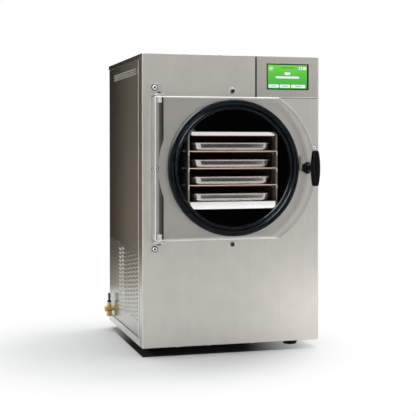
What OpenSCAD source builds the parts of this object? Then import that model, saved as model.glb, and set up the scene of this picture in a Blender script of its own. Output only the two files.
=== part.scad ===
// Table-top freeze dryer: folded stainless cabinet, round vacuum chamber with a heated
// shelf rack, clear door on a side hinge, refrigeration set in the lower compartment.
// Cabinet frame: X to the right from the cabinet's middle, Y backwards from the front
// face, Z up from the floor. place() moves it so the origin is under the middle of the
// overall box.

/* [Cabinet] */
// Width of the cabinet
cab_w = 422; // [400:1:460]
// Height of the cabinet above its feet
cab_h = 661; // [645:1:720]
// Room between the chamber's insulation and the cabinet's back
back_room = 30; // [24:1:60]
// Sheet thickness of the panels
sheet = 1.2; // [0.8:0.1:1.6]
// Height of the feet
foot_h = 20; // [15:1:30]
// Diameter of a foot where it meets the base
foot_top_d = 46; // [36:1:50]
// Diameter of a foot at the floor
foot_floor_d = 33; // [24:1:40]
// Depth of the front panel's folded edge
front_return = 25; // [15:1:30]
// Gap between neighbouring panels
panel_gap = 0.3; // [0.2:0.1:0.6]
// Height of the base pan's upturned edge
base_lip = 17; // [12:1:24]
// Height of the top cover's downturned edge
lid_lip = 10; // [8:1:20]
// Height of the slotted lower side panels
vent_h = 199; // [160:1:215]

/* [Chamber] */
// Distance from the cabinet's top down to the chamber's axis
chamber_fall = 257; // [251:1:261]
// Inner radius of the chamber drum
drum_r = 145; // [138:0.5:146]
// Wall of the chamber drum
drum_wall = 2; // [1.5:0.1:2.5]
// Room behind the shelf rack in the chamber
rack_back = 9; // [5:0.5:15]
// How far the drum's rim stands in front of the front panel
rim_out = 4; // [2:0.5:6]
// Inner radius of the door gasket
gasket_in_r = 133; // [128:0.5:136]
// Outer radius of the door gasket
gasket_out_r = 155.5; // [153:0.5:158]
// Gap between the front panel and the door's back face
door_gap = 12; // [11:0.5:14]
// Thickness of the insulation round the cooling coil
foam_t = 20; // [12:1:24]
// Diameter of the cooling coil's tube
coil_d = 8; // [6:0.5:8]
// Turns of the cooling coil
coil_turns = 7; // [4:1:8]

/* [Door] */
// Thickness of the clear door
door_t = 32; // [28:1:36]
// Radius of the door's round side
door_r = 187; // [182:1:190]
// Half the height of the door
door_half_h = 160; // [156:1:166]
// Distance from the chamber's axis to the door's hinge edge
door_reach = 191; // [188:1:196]
// Distance from the chamber's axis to the hinge pins
pin_reach = 178.5; // [176:0.5:181]
// Diameter of a hinge pin
pin_d = 6; // [5:0.5:8]
// Length of a hinge pin inside the door
pin_in = 13; // [10:1:16]
// Thickness of the hinge bar
bar_t = 4; // [3:0.5:4]
// Width of the hinge bar
bar_w = 27; // [24:1:28]
// Radius of the relief that clears the chamber's rim
relief_r = 177; // [174:0.5:178]
// Thickness of a hinge ear
ear_t = 4; // [3:0.5:6]

/* [Latch] */
// Distance from the chamber's axis to the handle's shaft
latch_reach = 165; // [163:0.5:168]
// Diameter of the latch shaft
latch_d = 12; // [10:0.5:14]
// Length of the handle grip
grip_l = 80; // [60:1:100]
// Width of the grip in its middle
grip_w = 20; // [16:0.5:24]
// Width of the grip at its ends
grip_end_w = 12; // [8:0.5:16]
// Front of the grip in front of the cabinet
front_out = 107; // [95:1:120]
// Thickness of the latch cam
cam_t = 4; // [3:0.5:4.5]

/* [Rack] */
// Room between a tray's rim and the rack's outer face
tray_side = 12.5; // [10:0.5:14]
// Distance between shelves
shelf_pitch = 38.6; // [34:0.1:39]
// Height of the lowest shelf's face under the chamber's axis
shelf_drop = 77; // [74:0.5:80]
// Thickness of a shelf
shelf_t = 1.5; // [1:0.1:2]
// Length of a shelf
shelf_l = 352; // [340:1:356]
// Thickness of a heater pad
pad_t = 1.2; // [0.8:0.1:2]
// Width of a tray over its rim
tray_w = 187; // [170:1:190]
// How far a tray's wall leans in from its rim to its floor
tray_lean = 2; // [0:0.5:8]
// Length of a tray over its rim
tray_l = 346; // [320:1:350]
// Height of a tray
tray_h = 19; // [14:0.5:20]
// Wall of a tray
tray_wall = 0.8; // [0.6:0.1:1.2]
// Radius of a tray's upright corners
tray_corner = 14; // [6:1:18]
// Height of the lowest shelf's front lip
low_lip = 16; // [8:0.5:20]

/* [Controls] */
// Distance from the cabinet's middle to the control panel
ctrl_x = 59; // [50:1:75]
// Height of the control panel
ctrl_h = 95; // [85:1:96]
// Dark gap on the control panel's left
ctrl_gap = 4; // [2:0.5:5]
// Width of the screen's black frame
screen_w = 102.6; // [90:0.1:110]
// Height of the screen's black frame
screen_h = 59.2; // [50:0.1:64]
// Distance from the cabinet's side to the screen's frame
screen_side = 25; // [18:0.5:30]
// Distance from the cabinet's top to the screen's frame
screen_top = 17; // [14:0.5:20]

/* [Vents] */
// Length of a vent slot
slot_l = 25; // [18:0.5:28]
// Height of a vent slot
slot_h = 4.6; // [3:0.1:5]
// Distance between slot columns
slot_col = 34; // [32:0.5:36]
// Distance between slots in a column
slot_row = 9.7; // [8:0.1:12]
// Columns of slots
slot_cols = 7; // [3:1:7]
// Rows of slots
slot_rows = 16; // [6:1:16]
// Length of the long louvres
louvre_l = 295; // [200:1:310]
// Distance between the long louvres
louvre_pitch = 5.4; // [5:0.1:7]

/* [Refrigeration] */
// Radius of the compressor's shell
comp_r = 74; // [60:1:80]
// Room between the compressor and the insulation above it
comp_over = 31; // [20:1:60]
// Room between the compressor and the cabinet's side
comp_side = 39; // [20:1:60]
// Room between the compressor and the cabinet's back
comp_behind = 84; // [30:1:90]
// Room between the condenser and the insulation above it
cond_over = 46; // [30:1:70]
// Room between the condenser and the cabinet's side
cond_side = 18; // [12:1:30]
// Depth of the condenser from front to back
cond_deep = 42; // [30:1:50]
// Width of the condenser between its end plates
cond_w = 160; // [120:2:170]
// Width of the control board
board_w = 130; // [100:1:150]
// Length of the control board
board_l = 150; // [110:1:180]

/* [Fittings] */
// How far the drain valve stands out of the left side
valve_out = 20; // [18:0.5:24]
// Distance from the cabinet's back to the drain valve
valve_back = 48; // [40:1:60]
// Height of the drain valve's inlet above the floor
valve_z = 57; // [50:0.5:62]
// How far the vacuum port stands out of the back
rear_out = 31; // [24:1:40]
// Diameter of the vacuum port's pipe
port_d = 19; // [16:0.5:22]

/* [Hidden] */
$fn = 48;

half_w = cab_w / 2;
floor_z = foot_h;
top_z = foot_h + cab_h;
axis_z = top_z - chamber_fall;
run_gap = 0.05;
soft_gap = 0.3;

// cabinet panels
side_y = front_return + panel_gap;
seam_z = floor_z + base_lip + panel_gap + vent_h;
flange = 12;
hem_w = 18;
hem_out = 1.6;
side_x = half_w - hem_out;
inner_half = side_x - sheet - panel_gap;
foot_inset = 45;
foot_back = 42;
stud_r = 4;
stud_l = 4;

// chamber
drum_out_r = drum_r + drum_wall;
rack_y = 3;
drum_back = rack_y + max(shelf_l, tray_l + 2 * rack_y) + rack_back;
weld_w = 18;
weld_r = drum_out_r + weld_w;
coil_r = coil_d / 2;
coil_steps = 24;
coil_path_r = (drum_out_r + soft_gap + coil_r) / cos(180 / coil_steps);
foam_in_r = coil_path_r + coil_r + soft_gap;
foam_out_r = foam_in_r + foam_t;
foam_end = 12;
foam_y = side_y + soft_gap;
foam_back = drum_back + drum_wall + foam_end;
cab_d = foam_back + back_room;
bulk_t = 3;
bulk_y = sheet + panel_gap;
bulk_back = bulk_y + bulk_t;
bulk_top = axis_z + door_half_h - 1;
bulk_leg = 30;
screw_rise = 175.5;
screw_d = 15;
screw_h = 4.5;
shank_r = 3;
drain_y = drum_back - 20;
drain_r = 4.5;

// door and hinge
door_front = -door_gap - door_t;
pin_y = -door_gap - door_t / 2;
ear_z = door_half_h + 2;
bush_r = pin_d / 2 + 2;
bar_x = -door_reach - 1;
bar_screw_x = bar_x + 9;
bar_screw_d = 13;
bar_screw_z = ear_z + ear_t + 15;
bar_half_h = bar_screw_z + 9;
swing_y = pin_y + norm([door_reach - pin_reach, door_t / 2]);
bar_screw_h = min(screw_h, -swing_y - bar_t - soft_gap);

// latch
sleeve_r = latch_d / 2 + 2;
collar_r = latch_d / 2 + 6;
collar_t = 9;
grip_y = -front_out + grip_w / 2;
strike_x = door_r + 13;
strike_half_h = 46;
strike_t = 2;
lip_y = -door_gap + 1;
lip_t = 1.5;
cam_y = lip_y + lip_t + 0.5;
cam_l = strike_x - 7 - latch_reach;
hub_r = latch_reach - gasket_out_r - 0.5;

// rack
rack_wall = 1.5;
rack_half = tray_w / 2 + tray_side;
rack_drop = sqrt(pow(drum_r - soft_gap, 2) - pow(rack_half, 2));
rack_hem = 3;
rack_bend = 5.5;
lip_rise = 4.5;
tab_w = 10;
tab_out = 4;
tab_in = 40;
shelf_half = rack_half - rack_wall - soft_gap;
top_shelf_half = rack_half - rack_wall - (rack_bend - lip_rise + 0.6 * rack_wall) - 1.5 * soft_gap;
lead_r = 1.6;
lead_x = rack_half - rack_wall - lead_r - 0.6;
lead_y = rack_y + 24;
lead_low = 5.6;
tray_rim = 3;

function shelf_z(i) = axis_z - shelf_drop + i * shelf_pitch;
function tab_y(k) = rack_y + tab_in + k * (shelf_l - 2 * tab_in - tab_w);

// controls
ctrl_z = top_z - ctrl_h;
screen_x = half_w - screen_side - screen_w;
screen_z = top_z - screen_top - screen_h;
lcd_border = 2;
lcd_right = 3.5;
frame_t = 8;

// drain valve, vacuum port and power inlet
valve_y = cab_d - valve_back;
valve_room = 2.2;
outlet_r = 6.8;
valve_x = -half_w - valve_room - outlet_r;
valve_bore = 3.5;
valve_in = 8;
stem_r = 2.5;
port_z = axis_z + 90;
port_wall = 2;
inlet_x = 120;
inlet_z = floor_z + 60;
switch_x = inlet_x + 30;
pivot_r = 1.2;
rocker_tilt = 8;
rocker_w = 11.2;

// refrigeration set on the base pan
unit_z = floor_z + sheet;
low_room = axis_z - foam_out_r - unit_z;
comp_x = comp_r + comp_side - inner_half;
comp_y = cab_d - comp_behind - comp_r;
cond_y = 60;
cond_h = low_room - cond_over;
cond_half = cond_w / 2;
tube_end = 27;
fan_x = inner_half - cond_side - cond_half;
fan_z = unit_z + cond_h / 2;
fan_r = min(cond_half - 8, cond_h / 2 - 18);
fan_hub_r = 16;
fan_hub_l = 14;
blade_w = 44;
blade_pitch = 28;
shroud_y = cond_y + cond_deep + 2;
blade_y = shroud_y + 8;
motor_y = blade_y + fan_hub_l + 6;
motor_r = 26;
motor_l = 46;

// electronics over the chamber
deck_z = axis_z + foam_out_r + 4;
deck_y = 60;
deck_l = 270;
board_x = 48 - inner_half + board_w / 2;
board_y = deck_y + 30 + board_l / 2;
pillar_h = 6;
board_z = deck_z + sheet + pillar_h;

module place() {
    translate([valve_out / 2, -(cab_d + rear_out - front_out) / 2, 0]) children();
}

// box given by its lowest corner and its highest corner
module block(a, b) {
    translate(a) cube([b[0] - a[0], b[1] - a[1], b[2] - a[2]]);
}

// cylinder along Y from y0 to y1, round x, z
module rod_y(x, z, y0, y1, r) {
    translate([x, y0, z]) rotate([-90, 0, 0]) cylinder(h = y1 - y0, r = r);
}

// cylinder along X from x0 to x1, round y, z
module rod_x(y, z, x0, x1, r) {
    translate([x0, y, z]) rotate([0, 90, 0]) cylinder(h = x1 - x0, r = r);
}

// outline w by l with corners of radius r, round the origin
module round_rect(w, l, r) {
    square([w - 2 * r, l], center = true);
    square([w, l - 2 * r], center = true);
    for (x = [-1, 1], y = [-1, 1]) translate([x * (w / 2 - r), y * (l / 2 - r)]) circle(r = r);
}

// ring along Y round the chamber's axis
module chamber_ring(y0, y1, r_in, r_out) {
    difference() {
        rod_y(0, axis_z, y0, y1, r_out);
        rod_y(0, axis_z, y0 - 1, y1 + 1, r_in);
    }
}

// button-head screw pointing back, head in front of y, shank behind it
module button_screw(x, y, z, d, h, r, shank_l) {
    difference() {
        union() {
            rod_y(x, z, y - h, y, d / 2);
            rod_y(x, z, y - 0.01, y + shank_l, r);
        }
        translate([x, y - h - 1, z]) rotate([-90, 30, 0])
            cylinder(h = h * 0.6 + 1, r = d * 0.22, $fn = 6);
    }
}

// ---------------------------------------------------------------- cabinet sheet metal
module base_pan() {
    color("silver") difference() {
        union() {
            block([-half_w, side_y, floor_z], [half_w, cab_d, floor_z + sheet]);
            for (s = [-1, 1])
                block([s * half_w - (s > 0 ? sheet : 0), side_y, floor_z],
                    [s * half_w + (s < 0 ? sheet : 0), cab_d, floor_z + base_lip]);
            block([-half_w, side_y, floor_z], [half_w, side_y + sheet, floor_z + base_lip]);
            block([-half_w, cab_d - sheet, floor_z], [half_w, cab_d, floor_z + base_lip]);
        }
        for (x = [-1, 1], y = [side_y + foot_inset, cab_d - foot_back])
            translate([x * (half_w - foot_inset), y, floor_z - 1])
                cylinder(h = sheet + 2, r = stud_r + run_gap);
    }
}

// tapered rubber foot with a moulded-in stud, s -1 for left and 1 for right
module foot(s, y) {
    color("black") translate([s * (half_w - foot_inset), y, 0]) {
        cylinder(h = foot_h, d1 = foot_floor_d, d2 = foot_top_d);
        cylinder(h = foot_h + sheet + stud_l, r = stud_r);
    }
}

module front_panel() {
    color("silver") difference() {
        block([-half_w, 0, floor_z], [half_w, front_return, top_z]);
        block([-half_w + sheet, sheet, floor_z + sheet], [half_w - sheet, front_return + 1, top_z - sheet]);
        block([ctrl_x - ctrl_gap, -1, ctrl_z - panel_gap], [half_w + 1, front_return + 1, top_z + 1]);
        rod_y(0, axis_z, -1, sheet + 1, drum_out_r + panel_gap);
        front_holes(-1, sheet + 1);
    }
}

// screw holes that the front panel and the bulkhead behind it share
module front_holes(y0, y1) {
    for (s = [-1, 1]) {
        rod_y(0, axis_z + s * screw_rise, y0, y1, shank_r + run_gap);
        rod_y(strike_x, axis_z + s * strike_half_h, y0, y1, 2 + run_gap);
    }
    for (k = [-1:1]) rod_y(bar_screw_x, axis_z + k * bar_screw_z, y0, y1, shank_r + run_gap);
}

module control_panel() {
    color("silver") difference() {
        block([ctrl_x, 0, ctrl_z], [half_w, front_return, top_z]);
        block([ctrl_x + sheet, sheet, ctrl_z + sheet], [half_w - sheet, front_return + 1, top_z - sheet]);
        block([screen_x - panel_gap, -1, screen_z - panel_gap],
            [screen_x + screen_w + panel_gap, sheet + 1, screen_z + screen_h + panel_gap]);
    }
}

// folded side sheet with inward flanges and a rolled front hem
module side_sheet(z0, z1) {
    block([side_x - sheet, side_y, z0], [side_x, cab_d, z1]);
    block([side_x - sheet - flange, side_y, z0], [side_x, side_y + sheet, z1]);
    block([side_x - sheet - flange, cab_d - 2 * sheet - panel_gap, z0],
        [side_x, cab_d - sheet - panel_gap, z1]);
}

// rolled bead along the front edge
module side_hem(z0, z1) {
    hem_r = (pow(hem_w / 2, 2) + pow(hem_out, 2)) / (2 * hem_out);
    intersection() {
        translate([half_w - hem_r, side_y + hem_w / 2, z0]) cylinder(h = z1 - z0, r = hem_r, $fn = 192);
        block([side_x - 0.1, side_y, z0], [half_w + 1, side_y + hem_w, z1]);
    }
}

// upper side sheet with three long louvres pressed out of it
module upper_side() {
    top = top_z - lid_lip - panel_gap;
    lou_y = side_y + hem_w + 12;
    lou_z = top_z - 43;
    lou_out = hem_out - 0.1;
    difference() {
        union() {
            side_sheet(seam_z + panel_gap, top);
            side_hem(seam_z + panel_gap, top);
            for (i = [0:2]) translate([side_x, lou_y, lou_z + i * louvre_pitch]) rotate([-90, 0, 0])
                linear_extrude(louvre_l) polygon([[-0.01, 0], [lou_out, 0], [-0.01, -4.2]]);
        }
        for (i = [0:2]) block([side_x - sheet - 1, lou_y + 2, lou_z + i * louvre_pitch + 0.4],
            [side_x + lou_out / 2, lou_y + louvre_l - 2, lou_z + i * louvre_pitch + 1.8]);
    }
}

module slot_shape() {
    e = slot_h / 4;
    polygon([[e, 0], [slot_l - e, 0], [slot_l, e], [slot_l, slot_h - e], [slot_l - e, slot_h],
        [e, slot_h], [0, slot_h - e], [0, e]]);
}

module lower_side() {
    z0 = floor_z + base_lip + panel_gap;
    rows_h = slot_row * slot_rows;
    first_z = seam_z - 10 - rows_h;
    difference() {
        union() {
            side_sheet(z0, seam_z);
            side_hem(z0, seam_z);
        }
        translate([side_x - sheet - 1, side_y + hem_w + 4, first_z]) rotate([90, 0, 90])
            linear_extrude(sheet + 2) for (c = [0:slot_cols - 1], r = [0:slot_rows - 1])
                translate([c * slot_col, (r + (c % 2) / 2) * slot_row]) slot_shape();
    }
}

module left_side_panel() { color("gray") mirror([1, 0, 0]) upper_side(); }

module right_side_panel() { color("gray") upper_side(); }

module left_vent_panel() {
    color("darkgray") difference() {
        mirror([1, 0, 0]) lower_side();
        rod_x(valve_y, valve_z, -half_w - 1, -side_x + sheet + 1, valve_bore + 3);
    }
}

module right_vent_panel() { color("darkgray") lower_side(); }

module top_cover() {
    color("silver") difference() {
        block([-half_w, side_y, top_z - lid_lip], [half_w, cab_d, top_z]);
        block([-half_w + sheet, side_y + sheet, top_z - lid_lip - 1],
            [half_w - sheet, cab_d - sheet, top_z - sheet]);
    }
}

module back_panel() {
    z0 = floor_z + base_lip + panel_gap;
    z1 = top_z - lid_lip - panel_gap;
    vent_x = -25;
    vent_z = floor_z + 120;
    color("silver") difference() {
        block([-inner_half, cab_d - sheet, z0], [inner_half, cab_d, z1]);
        translate([vent_x, cab_d + 1, vent_z]) rotate([90, 0, 0]) linear_extrude(sheet + 2)
            for (c = [0:3], r = [0:9]) translate([c * slot_col, r * slot_row]) slot_shape();
        rod_y(0, port_z, cab_d - sheet - 1, cab_d + 1, port_d / 2 + soft_gap);
        block([inlet_x - 14, cab_d - sheet - 1, inlet_z - 10], [switch_x + 10, cab_d + 1, inlet_z + 10]);
    }
}

// ---------------------------------------------------------------- chamber
// stiff plate behind the front panel that carries the chamber, the hinge and the strike
module chamber_bulkhead() {
    color("dimgray") difference() {
        union() {
            block([-inner_half, bulk_y, floor_z + sheet], [inner_half, bulk_back, bulk_top]);
            block([-inner_half, bulk_y, floor_z + sheet],
                [inner_half, side_y - soft_gap, floor_z + sheet + bulk_t]);
            rod_y(0, axis_z + screw_rise, bulk_y, bulk_back, screw_d);
            block([-screw_d, bulk_y, bulk_top - 1], [screw_d, bulk_back, axis_z + screw_rise]);
        }
        rod_y(0, axis_z, 0, bulk_back + 1, drum_out_r + soft_gap);
        block([-inner_half + bulk_leg, 0, floor_z + sheet + 20],
            [inner_half - bulk_leg, bulk_back + 1, axis_z - screw_rise - screw_d]);
        front_holes(0, bulk_back + 1);
    }
}

// saddle that carries the back of the insulated drum
module chamber_cradle() {
    y0 = foam_back - 48;
    half = inner_half - 14;
    arm = 26;
    foot_l = 25;
    color("dimgray") difference() {
        union() {
            block([-half, y0, floor_z + sheet], [half, y0 + bulk_t, axis_z - 60]);
            block([-half, y0, floor_z + sheet], [half, y0 + foot_l, floor_z + sheet + bulk_t]);
        }
        rod_y(0, axis_z, y0 - 1, y0 + foot_l + 1, foam_out_r + soft_gap);
        block([-half + arm, y0 - 1, floor_z + sheet + 18],
            [half - arm, y0 + foot_l + 1, axis_z - foam_out_r - 16]);
    }
}

// deep-drawn chamber with a welded mounting ring behind the bulkhead
module chamber_drum() {
    ring_y = bulk_back + soft_gap;
    color("dimgray") difference() {
        translate([0, 0, axis_z]) rotate([-90, 0, 0]) rotate_extrude($fn = 96) polygon([
            [0, drum_back], [drum_r, drum_back], [drum_r, -rim_out], [drum_out_r, -rim_out],
            [drum_out_r, ring_y], [weld_r, ring_y], [weld_r, ring_y + drum_wall],
            [drum_out_r, ring_y + drum_wall], [drum_out_r, drum_back + drum_wall],
            [0, drum_back + drum_wall]]);
        translate([0, drain_y, axis_z - drum_out_r - 1]) cylinder(h = drum_wall + 4, r = drain_r);
        rod_y(0, port_z, drum_back - 1, drum_back + drum_wall + 1, port_d / 2 - port_wall);
    }
}

module door_gasket() {
    w = gasket_out_r - gasket_in_r;
    front = door_gap - soft_gap;
    lip = 3;
    color("black") difference() {
        translate([0, 0, axis_z]) rotate([-90, 0, 0]) rotate_extrude($fn = 96) union() {
            translate([gasket_in_r, -front + lip]) square([w, front - lip - soft_gap]);
            translate([gasket_in_r + lip, -front]) square([w - 2 * lip, lip + 1]);
            translate([gasket_in_r + lip, -front + lip]) circle(r = lip, $fn = 24);
            translate([gasket_out_r - lip, -front + lip]) circle(r = lip, $fn = 24);
        }
        chamber_ring(-rim_out - soft_gap, 1, drum_r - soft_gap, drum_out_r + soft_gap);
    }
}

// evaporator tube wound round the drum, a helix with a six-sided section
module cooling_coil() {
    n = coil_turns * coil_steps;
    y0 = foam_y + 14;
    rise = (drain_y - 24 - y0) / n;
    pts = [for (i = [0:n], k = [0:5])
        let (a = i * 360 / coil_steps, b = k * 60 + 30, q = coil_path_r + coil_r * cos(b))
            [q * cos(a), y0 + i * rise + coil_r * sin(b), axis_z + q * sin(a)]];
    sides = [for (i = [0:n - 1], k = [0:5])
        [i * 6 + k, i * 6 + (k + 1) % 6, (i + 1) * 6 + (k + 1) % 6, (i + 1) * 6 + k]];
    ends = [[for (k = [0:5]) 5 - k], [for (k = [0:5]) n * 6 + k]];
    color("peru") polyhedron(points = pts, faces = concat(sides, ends), convexity = 8);
}

module chamber_foam() {
    color("black") difference() {
        rod_y(0, axis_z, foam_y, foam_back, foam_out_r);
        rod_y(0, axis_z, foam_y - 1, foam_back - foam_end + soft_gap, foam_in_r);
        rod_y(0, port_z, foam_back - foam_end - 1, foam_back + 1, port_d / 2 + soft_gap);
        translate([0, drain_y, axis_z - foam_out_r - 1]) cylinder(h = foam_t + 4, r = drain_r + soft_gap);
    }
}

// ---------------------------------------------------------------- shelf rack
// side plate of the rack, bent inwards at its top, s -1 for left and 1 for right
module rack_side(s) {
    z1 = shelf_z(4) + lip_rise;
    zb = z1 - rack_bend;
    z0 = axis_z - rack_drop;
    x0 = rack_half - rack_wall;
    x1 = rack_half - rack_bend;
    color("lightgray") mirror([s < 0 ? 1 : 0, 0, 0]) difference() {
        union() {
            translate([0, rack_y + shelf_l, 0]) rotate([90, 0, 0]) linear_extrude(shelf_l)
                polygon([[x0, z0], [rack_half, z0], [rack_half, zb], [x1, z1],
                    [x1 - rack_wall, z1 - 0.4 * rack_wall], [x0, zb - 0.6 * rack_wall]]);
            block([rack_half - rack_hem, rack_y, z0], [rack_half, rack_y + rack_wall, zb]);
        }
        for (i = [0:3], y = [0, 1]) block([x0 - 1, tab_y(y) - 0.2, shelf_z(i) - shelf_t - 0.1],
            [rack_half + 1, tab_y(y) + tab_w + 0.2, shelf_z(i) + 0.2]);
    }
}

// heated shelf i, counted from the bottom, held by two tabs in each side plate
module shelf(i) {
    z = shelf_z(i);
    half = i == 4 ? top_shelf_half : shelf_half;
    lip_up = i == 4 ? lip_rise : 0;
    lip_down = i == 0 ? low_lip : (i == 4 ? 3.4 : shelf_t);
    lip_half = i == 4 ? rack_half - rack_bend - rack_wall - soft_gap : half - rack_hem;
    color("lightgray") difference() {
        union() {
            block([-half, rack_y + 2, z - shelf_t], [half, rack_y + shelf_l - 2, z]);
            block([-lip_half, rack_y, z - lip_down], [lip_half, rack_y + 2.5, z + lip_up]);
            if (i < 4) for (y = [0, 1]) block([-rack_half - tab_out, tab_y(y), z - shelf_t],
                [rack_half + tab_out, tab_y(y) + tab_w, z]);
        }
        block([lead_x - lead_r - 0.6, lead_y - lead_r - 0.6, z - shelf_t - 1],
            [shelf_half + 1, lead_y + lead_r + 0.6, z + 1]);
    }
}

module heater_pads() {
    half = tray_w / 2 - soft_gap;
    color("orangered") for (i = [0:4]) block([-half, rack_y + 3, shelf_z(i) - shelf_t - pad_t],
        [half, rack_y + shelf_l - 14, shelf_z(i) - shelf_t]);
}

// harness up the right side plate with a branch to each pad, then back along the lowest shelf
module heater_leads() {
    low = shelf_z(0) + lead_low;
    branch = -shelf_t - pad_t - 1.1 - soft_gap;
    color("peru") {
        translate([lead_x, lead_y, low]) cylinder(h = shelf_z(4) + branch - low, r = lead_r);
        for (i = [1:4]) rod_x(lead_y, shelf_z(i) + branch, shelf_half - 20, lead_x, 1.1);
        rod_y(lead_x, low, lead_y, drum_back - soft_gap, lead_r);
    }
}

// freeze-drying tray i: tapered tub with round corners and a flat rim turned down at its edge
module tray(i) {
    z = shelf_z(i);
    yc = rack_y + 2 + tray_l / 2;
    color("gainsboro") difference() {
        union() {
            tray_tub(z, z + tray_h, 0, yc);
            translate([0, yc, z + tray_h - tray_wall]) linear_extrude(tray_wall)
                round_rect(tray_w, tray_l, tray_corner + tray_rim);
            translate([0, yc, z + tray_h - 2.5 * tray_wall]) linear_extrude(2 * tray_wall) difference() {
                round_rect(tray_w, tray_l, tray_corner + tray_rim);
                round_rect(tray_w - 2 * tray_wall, tray_l - 2 * tray_wall,
                    tray_corner + tray_rim - tray_wall);
            }
        }
        tray_tub(z + tray_wall, z + tray_h + 0.01, tray_wall, yc);
    }
}

// tapered tub between two heights, its outline t inside the tray's
module tray_tub(z0, z1, t, yc) {
    top_w = tray_w - 2 * tray_rim - 2 * t;
    top_l = tray_l - 2 * tray_rim - 2 * t;
    low_w = top_w - 2 * tray_lean;
    low_l = top_l - 2 * tray_lean;
    r = tray_corner;
    hull() for (x = [-1, 1], y = [-1, 1]) {
        translate([x * (low_w / 2 - r), yc + y * (low_l / 2 - r), z0])
            cylinder(h = 0.01, r = r, $fn = 20);
        translate([x * (top_w / 2 - r), yc + y * (top_l / 2 - r), z1 - 0.01])
            cylinder(h = 0.01, r = r, $fn = 20);
    }
}

// ---------------------------------------------------------------- door and hinge
// bar down the chamber's left with two ears for the pins, relieved where the chamber's rim passes
module hinge_bar() {
    ear_r = bar_w / 2;
    color("dimgray") difference() {
        union() {
            block([bar_x, -bar_t, axis_z - bar_half_h], [bar_x + bar_w, 0, axis_z + bar_half_h]);
            for (s = [-1, 1]) translate([0, 0, axis_z + s * (ear_z + ear_t / 2) - ear_t / 2]) {
                block([bar_x, pin_y, 0], [bar_x + bar_w, 0, ear_t]);
                translate([bar_x + ear_r, pin_y, 0]) cylinder(h = ear_t, r = ear_r);
            }
        }
        rod_y(0, axis_z, -bar_t - 1, 1, relief_r);
        for (k = [-1:1])
            rod_y(bar_screw_x, axis_z + k * bar_screw_z, -bar_t - 1, 1, shank_r + run_gap);
        translate([-pin_reach, pin_y, axis_z - bar_half_h])
            cylinder(h = 2 * bar_half_h, r = pin_d / 2 + run_gap);
    }
}

module hinge_pins() {
    color("black") for (s = [0, 1]) translate([-pin_reach, pin_y, axis_z]) mirror([0, 0, s]) {
        translate([0, 0, door_half_h - pin_in])
            cylinder(h = pin_in + ear_z - door_half_h + ear_t, r = pin_d / 2);
        translate([0, 0, ear_z + ear_t]) cylinder(h = 4, r = pin_d / 2 + 1.5);
    }
}

// flanged bushes pressed into the door's corners
module hinge_bushes() {
    color("white") for (s = [0, 1]) translate([-pin_reach, pin_y, axis_z]) mirror([0, 0, s])
        difference() {
            union() {
                translate([0, 0, door_half_h - pin_in - 1]) cylinder(h = pin_in + 1, r = bush_r);
                translate([0, 0, door_half_h])
                    cylinder(h = ear_z - door_half_h - soft_gap, r = bush_r + 1.5);
            }
            translate([0, 0, door_half_h - pin_in - 2]) cylinder(h = pin_in + 6, r = pin_d / 2 + run_gap);
        }
}

module hinge_screws() {
    shank_l = bar_t + bulk_back + 1.5;
    color("darkgray") for (k = [-1:1])
        button_screw(bar_screw_x, -bar_t, axis_z + k * bar_screw_z, bar_screw_d, bar_screw_h,
            shank_r, shank_l);
}

module chamber_screws() {
    color("darkgray") for (s = [-1, 1])
        button_screw(0, 0, axis_z + s * screw_rise, screw_d, screw_h, shank_r, bulk_back + 1.5);
}

// thick clear plate, half round on the latch side and square on the hinge side
module door_slab() {
    color("aliceblue") difference() {
        translate([0, -door_gap, axis_z]) rotate([90, 0, 0]) linear_extrude(door_t) {
            intersection() {
                circle(r = door_r, $fn = 128);
                translate([-door_r, -door_half_h]) square([2 * door_r, 2 * door_half_h]);
            }
            translate([-door_reach, -door_half_h]) square([door_reach, 2 * door_half_h]);
        }
        for (s = [0, 1]) translate([-pin_reach, pin_y, axis_z]) mirror([0, 0, s])
            translate([0, 0, door_half_h - pin_in - 2]) cylinder(h = pin_in + 3, r = bush_r + run_gap);
        rod_y(latch_reach, axis_z, door_front - 1, -door_gap + 1, sleeve_r + run_gap);
    }
}

// collar on the door's face with a sleeve through it
module handle_bush() {
    color("black") difference() {
        union() {
            rod_y(latch_reach, axis_z, door_front, -door_gap, sleeve_r);
            rod_y(latch_reach, axis_z, door_front - collar_t, door_front, collar_r);
        }
        rod_y(latch_reach, axis_z, door_front - collar_t - 1, 0, latch_d / 2 + run_gap);
    }
}

// barrel-shaped T-grip, widest in its middle, standing upright at rest
module handle_grip() {
    neck = door_front - collar_t - soft_gap;
    half = (grip_l - grip_end_w) / 2;
    bulge = (grip_w - grip_end_w) / 2;
    arc_r = (pow(half, 2) + pow(bulge, 2)) / (2 * bulge);
    color("black") difference() {
        union() {
            translate([latch_reach, grip_y, axis_z]) {
                rotate_extrude() intersection() {
                    translate([grip_w / 2 - arc_r, 0]) circle(r = arc_r, $fn = 192);
                    translate([0, -half]) square([grip_w, 2 * half]);
                }
                for (s = [-1, 1]) translate([0, 0, s * half]) sphere(d = grip_end_w);
            }
            rod_y(latch_reach, axis_z, grip_y, neck, collar_r - 2);
        }
        rod_y(latch_reach, axis_z, grip_y + 2, neck + 1, latch_d / 2);
    }
}

// shaft through the door with the cam that hooks behind the strike
module latch_shaft() {
    tip_r = 5;
    color("dimgray") {
        rod_y(latch_reach, axis_z, grip_y + 2, cam_y + cam_t, latch_d / 2);
        translate([latch_reach, cam_y, axis_z]) rotate([-90, 0, 0]) linear_extrude(cam_t) {
            circle(r = hub_r);
            translate([-tip_r, -cam_l + tip_r]) square([2 * tip_r, cam_l - tip_r]);
            translate([0, -cam_l + tip_r]) circle(r = tip_r);
        }
    }
}

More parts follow.
